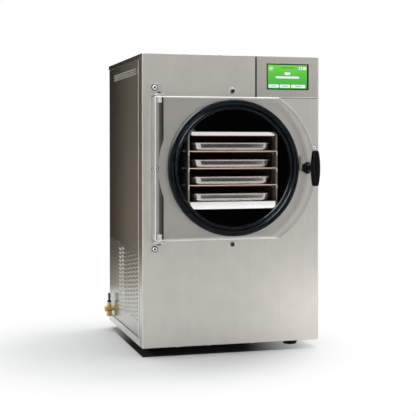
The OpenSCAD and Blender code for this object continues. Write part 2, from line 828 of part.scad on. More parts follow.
// strike plate with the hook that the cam turns in behind
module latch_strike() {
    hook_half = 12;
    hook_x = strike_x - 4;
    color("silver") difference() {
        union() {
            translate([strike_x, 0, axis_z]) rotate([90, 0, 0]) linear_extrude(strike_t)
                round_rect(14, 2 * strike_half_h + 16, 5);
            block([hook_x - strike_t, lip_y, axis_z - hook_half], [hook_x, 0, axis_z + hook_half]);
            block([hook_x - 10, lip_y, axis_z - hook_half], [hook_x, lip_y + lip_t, axis_z + hook_half]);
        }
        for (s = [-1, 1]) rod_y(strike_x, axis_z + s * strike_half_h, -strike_t - 1, 1, 2 + run_gap);
    }
}

module strike_screws() {
    color("black") for (s = [-1, 1])
        button_screw(strike_x, -strike_t, axis_z + s * strike_half_h, 7, 2.5, 2, strike_t + bulk_back + 1.5);
}

// ---------------------------------------------------------------- screen
module screen_frame() {
    color("black") difference() {
        block([screen_x, -0.4, screen_z], [screen_x + screen_w, frame_t, screen_z + screen_h]);
        block([screen_x + lcd_border, -1, screen_z + lcd_border],
            [screen_x + screen_w - lcd_right, frame_t - 2, screen_z + screen_h - lcd_border]);
    }
}

module screen_glass() {
    color("limegreen") block([screen_x + lcd_border + 0.1, 0.4, screen_z + lcd_border + 0.1],
        [screen_x + screen_w - lcd_right - 0.1, frame_t - 2, screen_z + screen_h - lcd_border - 0.1]);
}

module display_board() {
    y0 = frame_t + soft_gap;
    y1 = y0 + 1.6;
    color("darkgreen") {
        block([screen_x - 6, y0, screen_z - 6], [screen_x + screen_w + 6, y1, screen_z + screen_h + 6]);
        block([screen_x + 20, y0, screen_z + 15], [screen_x + 34, y1 + 2, screen_z + 29]);
        block([screen_x + 60, y0, screen_z + 8], [screen_x + 84, y1 + 8, screen_z + 16]);
    }
}

// ---------------------------------------------------------------- drain and vacuum
// ball valve: pipe into the cabinet, hexagon body, outlet pointing down
module valve_body() {
    out_x = -half_w - valve_out;
    color("goldenrod") difference() {
        union() {
            rod_x(valve_y, valve_z, out_x + 1, -half_w + valve_in, valve_bore + 2.5);
            translate([out_x, valve_y, valve_z]) rotate([0, 90, 0])
                cylinder(h = valve_out - 2, r = 8, $fn = 6);
            translate([valve_x, valve_y, valve_z - 20]) cylinder(h = 14, r = outlet_r, $fn = 6);
            translate([valve_x, valve_y, valve_z]) cylinder(h = 11, r = stem_r + 2);
        }
        translate([valve_x, valve_y, valve_z - 21]) cylinder(h = 21, r = valve_bore);
        rod_x(valve_y, valve_z, valve_x, -half_w + valve_in + 1, valve_bore);
    }
}

module valve_nut() {
    color("silver") difference() {
        translate([valve_x, valve_y, valve_z + 11]) cylinder(h = 5, r = stem_r + 3.5, $fn = 6);
        translate([valve_x, valve_y, valve_z + 10]) cylinder(h = 7, r = stem_r + run_gap);
    }
}

// butterfly lever on the valve's stem, edge-on to the front
module valve_lever() {
    lever_t = 3.5;
    color("black") translate([valve_x, valve_y, valve_z]) {
        translate([0, 0, 11.2]) cylinder(h = 8, r = stem_r);
        translate([0, 0, 16.3]) cylinder(h = 4, r = 5);
        translate([-lever_t / 2, 0, 0]) rotate([90, 0, 90]) linear_extrude(lever_t) {
            polygon([[-5, 18], [5, 18], [9, 34], [-9, 34]]);
            for (s = [-1, 1]) translate([s * 5, 35]) circle(r = 4);
            translate([-5, 30]) square([10, 9]);
        }
    }
}

// drain pipe from the chamber's bottom to the valve
module drain_tube() {
    color("gainsboro") difference() {
        drain_run(drain_r, 0);
        drain_run(drain_r - 1, 1);
    }
}

// the drain pipe's route as a solid of radius r, its ends drawn out by e
module drain_run(r, e) {
    z1 = axis_z - drum_out_r - soft_gap;
    x1 = -half_w + valve_in + soft_gap;
    translate([0, drain_y, valve_z]) cylinder(h = z1 - valve_z + e, r = r);
    translate([0, drain_y, valve_z]) sphere(r = r);
    rod_y(0, valve_z, drain_y, valve_y, r);
    translate([0, valve_y, valve_z]) sphere(r = r);
    rod_x(valve_y, valve_z, x1 - e, 0, r);
}

// hose spigot for the vacuum pump, piped to the back of the chamber
module vacuum_port() {
    y0 = drum_back + drum_wall + soft_gap;
    color("black") difference() {
        union() {
            rod_y(0, port_z, y0, cab_d + rear_out, port_d / 2);
            rod_y(0, port_z, cab_d + soft_gap, cab_d + 5, port_d / 2 + 7);
        }
        rod_y(0, port_z, y0 - 1, cab_d + rear_out + 1, port_d / 2 - port_wall);
    }
}

// moulded appliance inlet with three blades, and the switch's pocket and pivot beside it
module power_inlet() {
    back = cab_d + 2.5;
    color("black") {
        difference() {
            union() {
                block([inlet_x - 13.7, cab_d - 22, inlet_z - 9.7], [switch_x + 9.7, cab_d, inlet_z + 9.7]);
                block([inlet_x - 18, cab_d, inlet_z - 13], [switch_x + 14, back, inlet_z + 13]);
            }
            block([inlet_x - 11.5, cab_d - 16, inlet_z - 7.5], [inlet_x + 11.5, back + 1, inlet_z + 7.5]);
            block([switch_x - 6, cab_d - 12, inlet_z - 9.2], [switch_x + 6, back + 1, inlet_z + 9.2]);
        }
        for (k = [-1:1]) block([inlet_x + 7 * k - 1, cab_d - 16.5, inlet_z - 2 + (k == 0 ? 3 : 0)],
            [inlet_x + 7 * k + 1, cab_d - 4, inlet_z + 2 + (k == 0 ? 3 : 0)]);
        rod_x(cab_d - 2, inlet_z, switch_x - 6.2, switch_x + 6.2, pivot_r - run_gap);
    }
}

// rocker on its pivot across the pocket, resting on its off side
module power_switch() {
    color("black") translate([switch_x, cab_d - 2, inlet_z]) rotate([rocker_tilt, 0, 0]) difference() {
        rotate([90, 0, 90]) translate([0, 0, -rocker_w / 2]) linear_extrude(rocker_w)
            polygon([[-5, -7], [2.4, -7.6], [1.4, 0], [2.4, 7.6], [-5, 7]]);
        rotate([0, 90, 0]) translate([0, 0, -rocker_w]) cylinder(h = 2 * rocker_w, r = pivot_r);
    }
}

// ---------------------------------------------------------------- refrigeration set
// hermetic compressor: turned shell with a seam, on a plate with four grommets
module compressor() {
    pad_x = comp_r - 6;
    pad_y = comp_r - 26;
    plate_z = 10;
    plate_t = 5;
    h = low_room - comp_over - plate_z - plate_t;
    seam = h / 2;
    color("dimgray") translate([comp_x, comp_y, unit_z]) {
        translate([0, 0, plate_z + plate_t]) rotate_extrude($fn = 64) polygon([
            [0, 0], [comp_r - 14, 0], [comp_r - 4, 10], [comp_r, 20], [comp_r, seam],
            [comp_r + 3, seam + 2], [comp_r + 3, seam + 8], [comp_r, seam + 10],
            [comp_r - 2, h - 30], [comp_r - 14, h - 12], [comp_r - 34, h - 4], [0, h]]);
        translate([0, 0, plate_z]) linear_extrude(plate_t + 0.2)
            round_rect(2 * pad_x + 24, 2 * pad_y + 24, 12);
        for (x = [-1, 1], y = [-1, 1]) translate([x * pad_x, y * pad_y, 0])
            cylinder(h = plate_z + 0.2, r = 9);
    }
}

// fin pack with two rows of tubes between end plates
module condenser_coil() {
    fins = 14;
    fin_pitch = 2 * cond_half / fins;
    tube_pitch = (cond_h - 2 * tube_end) / 3;
    x0 = fan_x - cond_half;
    x1 = fan_x + cond_half;
    color("peru") {
        for (i = [1:fins - 1]) block([x0 + i * fin_pitch, cond_y + 2, unit_z + 4],
            [x0 + i * fin_pitch + 1, cond_y + cond_deep - 2, unit_z + cond_h - 4]);
        for (j = [0:3], k = [-1, 1])
            translate([x0 - 4, cond_y + cond_deep / 2 + 9 * k, unit_z + tube_end + j * tube_pitch])
                rotate([0, 90, 0]) cylinder(h = x1 - x0 + 8, r = 4, $fn = 6);
        for (x = [x0 - 2, x1]) block([x, cond_y, unit_z], [x + 2, cond_y + cond_deep, unit_z + cond_h]);
    }
}

module fan_shroud() {
    ring_r = fan_r + 6;
    half = cond_half + 4;
    color("dimgray") difference() {
        union() {
            block([fan_x - half, shroud_y, unit_z], [fan_x + half, shroud_y + 1.5, unit_z + cond_h]);
            rod_y(fan_x, fan_z, shroud_y, shroud_y + 22, ring_r + 2);
            block([fan_x - half, shroud_y, unit_z], [fan_x + half, shroud_y + 20, unit_z + 1.5]);
        }
        rod_y(fan_x, fan_z, shroud_y - 1, shroud_y + 23, ring_r);
    }
}

// fan motor on a bent foot, its shaft reaching forward into the blades' hub
module fan_motor() {
    color("dimgray") {
        rod_y(fan_x, fan_z, motor_y, motor_y + motor_l, motor_r);
        rod_y(fan_x, fan_z, blade_y + 4, motor_y + 1, 3);
        block([fan_x - 16, motor_y + 14, unit_z], [fan_x + 16, motor_y + 17, fan_z]);
        block([fan_x - 16, motor_y + 14, unit_z], [fan_x + 16, motor_y + motor_l - 6, unit_z + 1.5]);
    }
}

// five pitched blades on a hub, their tips turned to the shroud's circle
module fan_blades() {
    color("black") translate([fan_x, blade_y, fan_z]) rotate([-90, 0, 0]) difference() {
        union() {
            cylinder(h = fan_hub_l, r = fan_hub_r);
            intersection() {
                translate([0, 0, -8]) cylinder(h = fan_hub_l + 16, r = fan_r);
                for (k = [0:4]) rotate([0, 0, 72 * k]) translate([fan_hub_r - 4, 0, fan_hub_l / 2])
                    rotate([blade_pitch, 0, 0])
                        translate([0, -blade_w / 2, -1]) cube([fan_r, blade_w, 2]);
            }
        }
        translate([0, 0, -9]) cylinder(h = fan_hub_l + 18, r = 3 + run_gap);
    }
}

// ---------------------------------------------------------------- electronics
module electronics_tray() {
    y1 = deck_y + deck_l;
    color("silver") {
        block([-inner_half, deck_y, deck_z], [inner_half, y1, deck_z + sheet]);
        block([-inner_half, deck_y, deck_z], [-inner_half + sheet, y1, deck_z + 14]);
        block([inner_half - sheet, deck_y, deck_z], [inner_half, y1, deck_z + 14]);
    }
}

// board on four pillars with a transformer, a relay block and a connector
module control_board() {
    color("darkgreen") translate([board_x, board_y, board_z]) {
        for (x = [-1, 1], y = [-1, 1])
            translate([x * (board_w / 2 - 10), y * (board_l / 2 - 10), -pillar_h])
                cylinder(h = pillar_h + 0.5, r = 3);
        block([-board_w / 2, -board_l / 2, 0], [board_w / 2, board_l / 2, 1.6]);
        translate([10 - board_w / 2, 20 - board_l / 2, 0]) cube([40, 50, 24]);
        translate([0, 20 - board_l / 2, 0]) cube([35, 20, 16]);
        translate([0, -15, 0]) cube([25, 25, 6]);
    }
}

place() base_pan();
place() foot(-1, side_y + foot_inset);  // foot_front_left
place() foot(1, side_y + foot_inset);  // foot_front_right
place() foot(-1, cab_d - foot_back);  // foot_rear_left
place() foot(1, cab_d - foot_back);  // foot_rear_right
place() front_panel();
place() control_panel();
place() screen_frame();
place() screen_glass();
place() display_board();
place() left_side_panel();
place() right_side_panel();
place() left_vent_panel();
place() right_vent_panel();
place() top_cover();
place() back_panel();
place() chamber_bulkhead();
place() chamber_cradle();
place() chamber_drum();
place() door_gasket();
place() cooling_coil();
place() chamber_foam();
place() rack_side(-1);  // rack_left_side
place() rack_side(1);  // rack_right_side
place() shelf(0);  // shelf_1
place() shelf(1);  // shelf_2
place() shelf(2);  // shelf_3
place() shelf(3);  // shelf_4
place() shelf(4);  // shelf_5
place() heater_pads();
place() heater_leads();
place() tray(0);  // tray_1
place() tray(1);  // tray_2
place() tray(2);  // tray_3
place() tray(3);  // tray_4
place() hinge_bar();
place() hinge_pins();
place() hinge_bushes();
place() hinge_screws();
place() chamber_screws();
place() door_slab();
place() handle_grip();
place() handle_bush();
place() latch_shaft();
place() latch_strike();
place() strike_screws();
place() valve_body();
place() valve_nut();
place() valve_lever();
place() drain_tube();
place() vacuum_port();
place() power_inlet();
place() power_switch();
place() compressor();
place() condenser_coil();
place() fan_shroud();
place() fan_motor();
place() fan_blades();
place() electronics_tray();
place() control_board();
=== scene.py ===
"""Looks of a table-top freeze dryer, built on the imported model's frame.

Every piece is a surface worked out on a grid of two parameters: rows run along a profile or a
path, columns run round or across it. Lengths are metres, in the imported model's own frame.
"""

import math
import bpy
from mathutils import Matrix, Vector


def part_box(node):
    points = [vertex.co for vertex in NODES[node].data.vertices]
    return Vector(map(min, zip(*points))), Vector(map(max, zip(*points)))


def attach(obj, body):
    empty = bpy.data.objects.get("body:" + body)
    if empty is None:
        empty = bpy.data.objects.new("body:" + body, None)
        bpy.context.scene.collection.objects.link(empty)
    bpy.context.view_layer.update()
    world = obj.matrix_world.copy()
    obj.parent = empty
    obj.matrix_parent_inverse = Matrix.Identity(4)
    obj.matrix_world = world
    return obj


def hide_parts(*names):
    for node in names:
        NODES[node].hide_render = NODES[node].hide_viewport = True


bl_info = {
    "name": "Freeze Dryer",
    "version": (1, 0, 0),
    "blender": (4, 5, 0),
    "location": "View3D > Sidebar > Freeze Dryer",
    "description": "Builds the finishes and fine pieces of a table-top freeze dryer",
    "category": "Object",
}

import bmesh
import bpy
import numpy as np
from bpy.props import FloatProperty, FloatVectorProperty, IntProperty, PointerProperty
from mathutils import Vector

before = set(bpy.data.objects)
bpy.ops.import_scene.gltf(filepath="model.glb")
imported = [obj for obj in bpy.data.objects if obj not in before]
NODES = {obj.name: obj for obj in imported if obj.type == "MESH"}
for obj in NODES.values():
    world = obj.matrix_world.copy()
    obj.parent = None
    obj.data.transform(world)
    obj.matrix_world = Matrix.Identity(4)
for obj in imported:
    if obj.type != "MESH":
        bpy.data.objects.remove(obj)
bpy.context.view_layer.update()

# places that the looks share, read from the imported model
PANEL_LO, PANEL_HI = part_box("front_panel")
FRONT_Y = PANEL_LO.y
BASE_LO, BASE_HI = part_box("base_pan")
DRUM_LO, DRUM_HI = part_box("chamber_drum")
AXIS_X = (DRUM_LO.x + DRUM_HI.x) / 2
AXIS_Z = (DRUM_LO.z + DRUM_HI.z) / 2
DOOR_LO, DOOR_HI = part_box("door_slab")
GRIP_LO, GRIP_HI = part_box("handle_grip")
LATCH_X = (GRIP_LO.x + GRIP_HI.x) / 2
BAR_Y, STRIKE_Y = FRONT_Y - 0.004, FRONT_Y - 0.002   # front faces of the hinge bar and the strike
SLOT_PITCH = 0.0097                                  # height from one row of vent slots to the next


# ---------------------------------------------------------------- sizes and colours
def length(name, text, value, low, high):
    """A length in metres that a user may change."""
    return FloatProperty(name=name, description=text, default=value, min=low, max=high,
                         precision=5, unit="LENGTH", subtype="DISTANCE")


def number(name, text, value, low, high, unit="NONE"):
    """A plain number, or one in a unit, that a user may change."""
    return FloatProperty(name=name, description=text, default=value, min=low, max=high, unit=unit)


def colour(name, text, value):
    """A colour that a user may change."""
    return FloatVectorProperty(name=name, description=text, default=value, size=3,
                               min=0.0, max=1.0, subtype="COLOR")


class DryerFinish(bpy.types.PropertyGroup):
    """Colours and grain of the cabinet's finishes"""

    front: colour("Front Steel", "Reflected colour of the brushed front sheets", (0.66, 0.635, 0.59))
    side: colour("Side Steel", "Reflected colour of the side sheets", (0.52, 0.50, 0.47))
    zinc: colour("Zinc Sheet", "Colour of the slotted zinc-coated panels", (0.345, 0.362, 0.33))
    rubber: colour("Rubber", "Colour of the gasket and the feet", (0.006, 0.0075, 0.011))
    black: colour("Black Plastic", "Colour of the grip, collar and screen frame", (0.003, 0.003, 0.0033))
    edge: length("Sheet Edge Radius", "Radius of the folded sheets' edges", 0.0012, 0.0002, 0.004)
    grain: number("Grain Stretch", "Length of a brushed streak over its width", 160.0, 5.0, 600.0)


class DryerDoor(bpy.types.PropertyGroup):
    """Sizes of the clear door"""

    chamfer: length("Edge Chamfer", "Width of the frosted chamfer round both faces", 0.0016, 0.0003, 0.004)
    corner: length("Corner Radius", "Radius of the door's two hinge-side corners", 0.003, 0.001, 0.02)
    tint: colour("Tint", "Colour of the light that passes the door", (0.975, 0.976, 0.977))


class DryerSeal(bpy.types.PropertyGroup):
    """Sizes of the door gasket"""

    inner: length("Inner Radius", "Radius of the seal's opening", 0.133, 0.12, 0.14)
    outer: length("Outer Radius", "Radius of the seal's outer bead", 0.1555, 0.15, 0.16)
    groove: length("Groove Radius", "Radius of the groove between the two beads", 0.1415, 0.136, 0.146)
    groove_depth: length("Groove Depth", "Depth of the groove between the beads", 0.006, 0.001, 0.009)


class DryerGrip(bpy.types.PropertyGroup):
    """Sizes of the T-grip"""

    end_share: number("End Width", "Width at the ends over width in the middle", 0.62, 0.3, 1.0)
    squareness: number("Squareness", "Power of the section's curve, 2 is round", 3.2, 2.0, 8.0)
    lobes: IntProperty(name="Collar Lobes", description="Lobes round the collar on the door",
                       default=6, min=3, max=12)
    lobe_depth: length("Lobe Depth", "How deep the collar is scalloped", 0.0016, 0.0002, 0.004)


class DryerTrays(bpy.types.PropertyGroup):
    """Sizes of the freeze-drying trays"""

    wall: length("Wall", "Sheet thickness of a tray", 0.0008, 0.0004, 0.002)
    upright: length("Flare", "How far a tray's wall leans out over its height", 0.0006, 0.0, 0.02)
    spread: length("Spread", "How far the rim springs out past the pressing's drawn width",
                   0.0040, 0.0, 0.005)
    taper: length("End Taper", "How far a tray's two end walls lean out over its height", 0.0035, 0.0, 0.01)
    bow: number("Bow", "How far the front wall bows out, as a share of half the length", 0.02, 0.0, 0.05)
    rim: length("Rim", "Width of the flat rim", 0.0016, 0.001, 0.01)
    corner: length("Corner Radius", "Radius of a tray's corners at the rim", 0.020, 0.004, 0.03)
    bottom: length("Bottom Radius", "Radius between a tray's wall and its floor", 0.0075, 0.001, 0.009)


class DryerScreen(bpy.types.PropertyGroup):
    """Colours of the screen"""

    top: colour("Upper Green", "Colour at the top of the picture", (0.13, 0.60, 0.045))
    low: colour("Lower Green", "Colour at the bottom of the picture", (0.045, 0.40, 0.055))
    glow: number("Glow", "Brightness of the picture", 1.0, 0.0, 4.0)


class DryerStage(bpy.types.PropertyGroup):
    """Floor and lamps"""

    sky: number("Sky", "Brightness of the white room on the object", 0.40, 0.0, 2.0)
    key: number("Top Lamp", "Power of the lamp over the object", 57.0, 0.0, 500.0, "POWER")
    fill: number("Front Lamp", "Power of the lamp in front", 10.0, 0.0, 500.0, "POWER")
    floor: colour("Floor", "Colour of the floor near the object", (0.83, 0.84, 0.85))


# ---------------------------------------------------------------- grids and meshes
def grid_faces(rows, cols, rows_closed):
    """Four point numbers for each patch between neighbouring rows, and columns that run round."""
    r, c = np.meshgrid(np.arange(rows if rows_closed else rows - 1), np.arange(cols), indexing="ij")
    r, c = r.ravel(), c.ravel()
    r2, c2 = (r + 1) % rows, (c + 1) % cols
    return np.stack([r * cols + c, r * cols + c2, r2 * cols + c2, r2 * cols + c], -1)


def tube_shell(points, finish=0):
    """Grid open along its rows and closed round its columns, with a flat cap on each end."""
    rows, cols = points.shape[:2]
    ring = np.arange(cols)
    return {"points": points.reshape(-1, 3), "quads": grid_faces(rows, cols, False),
            "caps": [ring[::-1], ring + (rows - 1) * cols], "finish": finish}


def ring_shell(points, finish=0):
    """Grid closed along its rows and round its columns, as a tyre is."""
    return {"points": points.reshape(-1, 3), "quads": grid_faces(*points.shape[:2], True),
            "caps": [], "finish": finish}


def grid_points(x, y, z):
    """Points of a grid from their three lengths, given once for a row, a column or the whole."""
    return np.stack(np.broadcast_arrays(x, y, z), -1)


def make_piece(name, shells, body, finishes, sharp=32.0, replaces=()):
    """One object from closed shells; a shell's finish is a number, or one number for each patch."""
    points, faces, marks, start = [], [], [], 0
    for shell in shells:
        points.append(shell["points"])
        faces += (shell["quads"] + start).tolist() + [(cap + start).tolist() for cap in shell["caps"]]
        mark = np.broadcast_to(np.asarray(shell["finish"]), (len(shell["quads"]),))
        end_mark = int(mark.min()) if len(mark) else 0
        marks += mark.tolist() + [end_mark] * len(shell["caps"])
        start += len(shell["points"])
    mesh = bpy.data.meshes.new(name)
    mesh.from_pydata(np.concatenate(points).tolist(), [], faces)
    mesh.polygons.foreach_set("material_index", np.array(marks, dtype=np.int32))
    work = bmesh.new()
    work.from_mesh(mesh)
    bmesh.ops.recalc_face_normals(work, faces=work.faces)
    work.to_mesh(mesh)
    work.free()
    mesh.shade_smooth()
    mesh.set_sharp_from_angle(angle=math.radians(sharp))
    for finish in finishes:
        mesh.materials.append(finish)
    piece = bpy.data.objects.new(name, mesh)
    bpy.context.scene.collection.objects.link(piece)
    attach(piece, body)
    if replaces:
        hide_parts(*replaces)


# how a turned or lofted shape's own axes lie in the frame: (across, across, along)
AXES = {"X": (1, 2, 0), "Y": (2, 0, 1), "Z": (0, 1, 2), "-Y": (0, 2, 1)}


def lay(across_a, across_b, along, centre, axis):
    """Points whose two across lengths and along length are laid on the frame's axes."""
    a, b, along = np.broadcast_arrays(across_a, across_b, along)
    out = np.empty(a.shape + (3,))
    for place, values in zip(AXES[axis], (a, b, along)):
        out[..., place] = values
    return out + np.asarray(centre, float)


def turned(profile, centre, axis, cols, scallop=None):
    """Profile of (radius, along) turned once round the axis: a = r cos t, b = r sin t."""
    profile = np.asarray(profile, float)
    t = np.linspace(0, 2 * np.pi, cols, endpoint=False)
    r = profile[:, :1] * np.ones_like(t)
    if scallop is not None:
        r = r * scallop(t, profile)
    return lay(r * np.cos(t), r * np.sin(t), profile[:, 1:], centre, axis)


def rounded_rings(widths, lengths, corners, per_corner):
    """Outlines with round corners, one row each: a quarter circle of radius r round each corner's
    centre (w/2 - r, l/2 - r)."""
    w, l, r = (np.asarray(v, float).reshape(-1, 1) for v in (widths, lengths, corners))
    t = np.linspace(0, np.pi / 2, per_corner + 1)
    t = (t[None, :] + np.arange(4)[:, None] * np.pi / 2).ravel()
    sx = np.repeat([1, -1, -1, 1], per_corner + 1)
    sy = np.repeat([1, 1, -1, -1], per_corner + 1)
    return sx * (w / 2 - r) + r * np.cos(t), sy * (l / 2 - r) + r * np.sin(t)


def quarter(radius, start, stop, count=5):
    """Cosine and sine of a short arc, times its radius, as two arrays."""
    t = np.radians(np.linspace(start, stop, count))
    return radius * np.cos(t), radius * np.sin(t)


def pad_shell(lo, hi, corner, edge, axis, finish, per_corner=5):
    """Block with round corners and edges: the outline drawn in by e(1 - cos t) as the height
    goes up by e sin t, the same at both ends."""
    lo, hi = np.asarray(lo, float), np.asarray(hi, float)
    order = AXES[axis]
    size, centre = hi - lo, (hi + lo) / 2
    w, l, h = (size[i] for i in order)
    edge = min(edge, h / 2.001, w / 2.001, l / 2.001)
    corner = max(min(corner, w / 2.001, l / 2.001), edge)
    c, s = quarter(edge, 0, 90)
    inset = np.concatenate([(edge - c)[::-1], edge - c])
    along = np.concatenate([-h / 2 + edge - s[::-1], h / 2 - edge + s])
    a, b = rounded_rings(w - 2 * inset, l - 2 * inset, np.maximum(corner - inset, edge * 0.02), per_corner)
    return tube_shell(lay(a, b, along[:, None], centre, axis), finish)


def swept_tube(path, radius, sides, finish=0):
    """Tube round a path of points: ring centre p, radius along two directions square to the path."""
    path = np.asarray(path, float)
    ahead = np.gradient(path, axis=0)
    ahead /= np.linalg.norm(ahead, axis=1, keepdims=True)
    guide = np.where(np.abs(ahead[:, 2:]) < 0.9, [[0.0, 0.0, 1.0]], [[1.0, 0.0, 0.0]])
    one = np.cross(ahead, guide)
    one /= np.linalg.norm(one, axis=1, keepdims=True)
    two = np.cross(ahead, one)
    t = np.linspace(0, 2 * np.pi, sides, endpoint=False)[None, :, None]
    ring = path[:, None] + radius * (one[:, None] * np.cos(t) + two[:, None] * np.sin(t))
    return tube_shell(ring, finish)


# ---------------------------------------------------------------- finishes
def wire(tree, kind, inputs=(), **settings):
    """Node of a kind with its settings; each input takes a value or another node's output."""
    made = tree.nodes.new(kind)
    for name, value in settings.items():
        setattr(made, name, value)
    for socket, value in dict(inputs).items():
        if isinstance(value, bpy.types.NodeSocket):
            tree.links.new(value, made.inputs[socket])
        else:
            made.inputs[socket].default_value = value
    return made


def reckon(tree, operation, *numbers):
    """Result of one step of arithmetic on numbers or outputs."""
    return wire(tree, "ShaderNodeMath", enumerate(numbers), operation=operation).outputs[0]


def mapped(tree, number, start, stop, first, last, way="SMOOTHSTEP"):
    """Number taken from start..stop to first..last."""
    ends = {"Value": number, "From Min": start, "From Max": stop, "To Min": first, "To Max": last}
    return wire(tree, "ShaderNodeMapRange", ends, interpolation_type=way).outputs["Result"]


def blend(tree, share, one, two):
    """Surface that goes from one shader to the other with the share."""
    mix = wire(tree, "ShaderNodeMixShader", {"Fac": share, 1: one, 2: two})
    tree.links.new(mix.outputs["Shader"], tree.nodes["Material Output"].inputs["Surface"])


def local(tree, kind="Object"):
    """The shaded point in the object's own axes: its place, or its Normal."""
    return wire(tree, "ShaderNodeTexCoord").outputs[kind]


def parts(tree, vector):
    """A vector's three lengths, as the outputs X, Y and Z."""
    return wire(tree, "ShaderNodeSeparateXYZ", {"Vector": vector}).outputs


def plain(name, base, metallic=0.0, roughness=0.5, **sockets):
    """Principled finish with its constants on the shader's own sockets."""
    made = bpy.data.materials.new(name)
    made.use_nodes = True
    made.diffuse_color = (*base, 1.0)
    sockets.update(Base_Color=made.diffuse_color, Roughness=roughness)
    for socket, value in {"Metallic": metallic, **sockets}.items():
        shader_of(made).inputs[socket.replace("_", " ")].default_value = value
    return made


def shader_of(material):
    """The finish's Principled shader."""
    return material.node_tree.nodes["Principled BSDF"]


def feed(material, socket, output):
    """Links an output into one of the shader's sockets."""
    material.node_tree.links.new(output, shader_of(material).inputs[socket])


def fed(material, socket="Base Color"):
    """The output that feeds one of the shader's sockets."""
    return shader_of(material).inputs[socket].links[0].from_socket


def pattern(material, kind="NOISE", scale=100.0, stretch=(1, 1, 1), turn=(0, 0, 0), **values):
    """A noise, cell or height pattern on object coordinates, as its number output."""
    tree = material.node_tree
    inputs = {"Vector": local(tree), "Scale": [scale * v for v in stretch], "Rotation": turn}
    place = wire(tree, "ShaderNodeMapping", inputs)
    node, output = {"NOISE": ("ShaderNodeTexNoise", "Fac"), "CELLS": ("ShaderNodeTexVoronoi", "Distance"),
                    "FADE": ("ShaderNodeSeparateXYZ", "Z")}[kind]
    return wire(tree, node, {"Vector": place.outputs["Vector"], **values}).outputs[output]


def ramp(material, number, stops):
    """Colour along a ramp of (position, colour) stops."""
    made = wire(material.node_tree, "ShaderNodeValToRGB", {"Fac": number})
    ends = made.color_ramp.elements
    for end, (position, value) in zip(ends, (stops[0], stops[-1])):
        end.position, end.color = position, (*value, 1)
    for position, value in stops[1:-1]:
        ends.new(position).color = (*value, 1)
    return made.outputs["Color"]


def spread(material, number, low, high, start, stop):
    """The pattern's range from start to stop, mapped to low and high."""
    return mapped(material.node_tree, number, start, stop, low, high, "LINEAR")


def tone(material, number, base, swing, start=0.25, stop=0.75):
    """Base colour that drifts from darker to lighter by swing as the pattern goes from start to stop."""
    low, high = ([min(1.0, v * (1 + way * swing)) for v in base] for way in (-1, 1))
    feed(material, "Base Color", ramp(material, number, [(start, low), (stop, high)]))


def overlay(material, tint, mode="MULTIPLY"):
    """Second colour laid over the one that feeds the shader's base colour."""
    inputs = {"Factor": 1.0, "A": fed(material), "B": tint}
    mixed = wire(material.node_tree, "ShaderNodeMix", inputs, data_type="RGBA", blend_type=mode)
    feed(material, "Base Color", mixed.outputs["Result"])


def shade_where(material, share, shade):
    """Darkens the base colour to a share of itself where a number is one."""
    overlay(material, ramp(material, share, [(0.0, (1, 1, 1)), (1.0, (shade,) * 3)]))


def relief(material, number, depth, strength, edge=0.0):
    """Bump of a depth in metres, on rounded edges where edge is the radius."""
    tree, inputs = material.node_tree, {"Distance": depth, "Strength": strength, "Height": number}
    if edge:
        inputs["Normal"] = wire(tree, "ShaderNodeBevel", {"Radius": edge}, samples=4).outputs["Normal"]
    feed(material, "Normal", wire(tree, "ShaderNodeBump", inputs).outputs["Normal"])


def rough(material, number, low, high, start=0.25, stop=0.75):
    """Roughness that follows the pattern."""
    feed(material, "Roughness", spread(material, number, low, high, start, stop))


def leaning(material, way):
    """How far a face leans one way in the object's own axes: one where it looks straight there."""
    tree = material.node_tree
    ways = {0: local(tree, "Normal"), 1: Vector(way).normalized()}
    return wire(tree, "ShaderNodeVectorMath", ways, operation="DOT_PRODUCT").outputs["Value"]


def facing(material, axis):
    """One on faces square to the object's axis, nought on the others."""
    tree = material.node_tree
    size = reckon(tree, "ABSOLUTE", parts(tree, local(tree, "Normal"))[axis])
    return reckon(tree, "GREATER_THAN", size, 0.8)


def paint_flank_shade(material, shade, gloss):
    """Painted shade on the faces that look sideways, with a smoother skin there: both are shares of the plain
    face's.
    """
    flank = facing(material, "X")
    shade_where(material, flank, shade)
    share = spread(material, flank, 1.0, gloss, 0.0, 1.0)
    feed(material, "Roughness", reckon(material.node_tree, "MULTIPLY", fed(material, "Roughness"), share))


def brushed_steel(name, base, low, high, grain_axis="Z", edge=0.0012, stretch=160.0, drift=0.05):
    """Brushed sheet: long fine streaks along the grain for colour, roughness and relief, with
    broad faint bands and a slow drift of tone."""
    made = plain(name, base, metallic=1.0, roughness=(low + high) / 2)
    along = [1 / stretch if axis == grain_axis else 1 for axis in "XYZ"]
    fine = pattern(made, scale=2600.0, stretch=along, Detail=3.0, Roughness=0.7)
    tone(made, pattern(made, scale=90.0, stretch=along, Detail=2.0, Roughness=0.6), base, drift)
    slow = pattern(made, scale=5.0, Detail=2.0)
    overlay(made, ramp(made, slow, [(0.3, (0.95, 0.95, 0.955)), (0.7, (1.0, 1.0, 1.0))]))
    rough(made, fine, low, high)
    relief(made, fine, 0.00003, 0.35, edge)
    return made


def zinc_sheet(name, base):
    """Zinc-coated sheet: crystal cells of a few millimetres, each its own tone, under a fine grain."""
    made = plain(name, base, metallic=0.9, roughness=0.32)
    cells = pattern(made, "CELLS", scale=170.0)
    grain = pattern(made, scale=900.0, Detail=4.0, Roughness=0.65)
    tone(made, cells, base, 0.16, 0.0, 0.7)
    overlay(made, ramp(made, grain, [(0.35, (0.82, 0.83, 0.83)), (0.65, (1.0, 1.0, 1.0))]))
    rough(made, cells, 0.14, 0.24, 0.0, 0.7)
    relief(made, grain, 0.00006, 0.4, 0.0008)
    return made


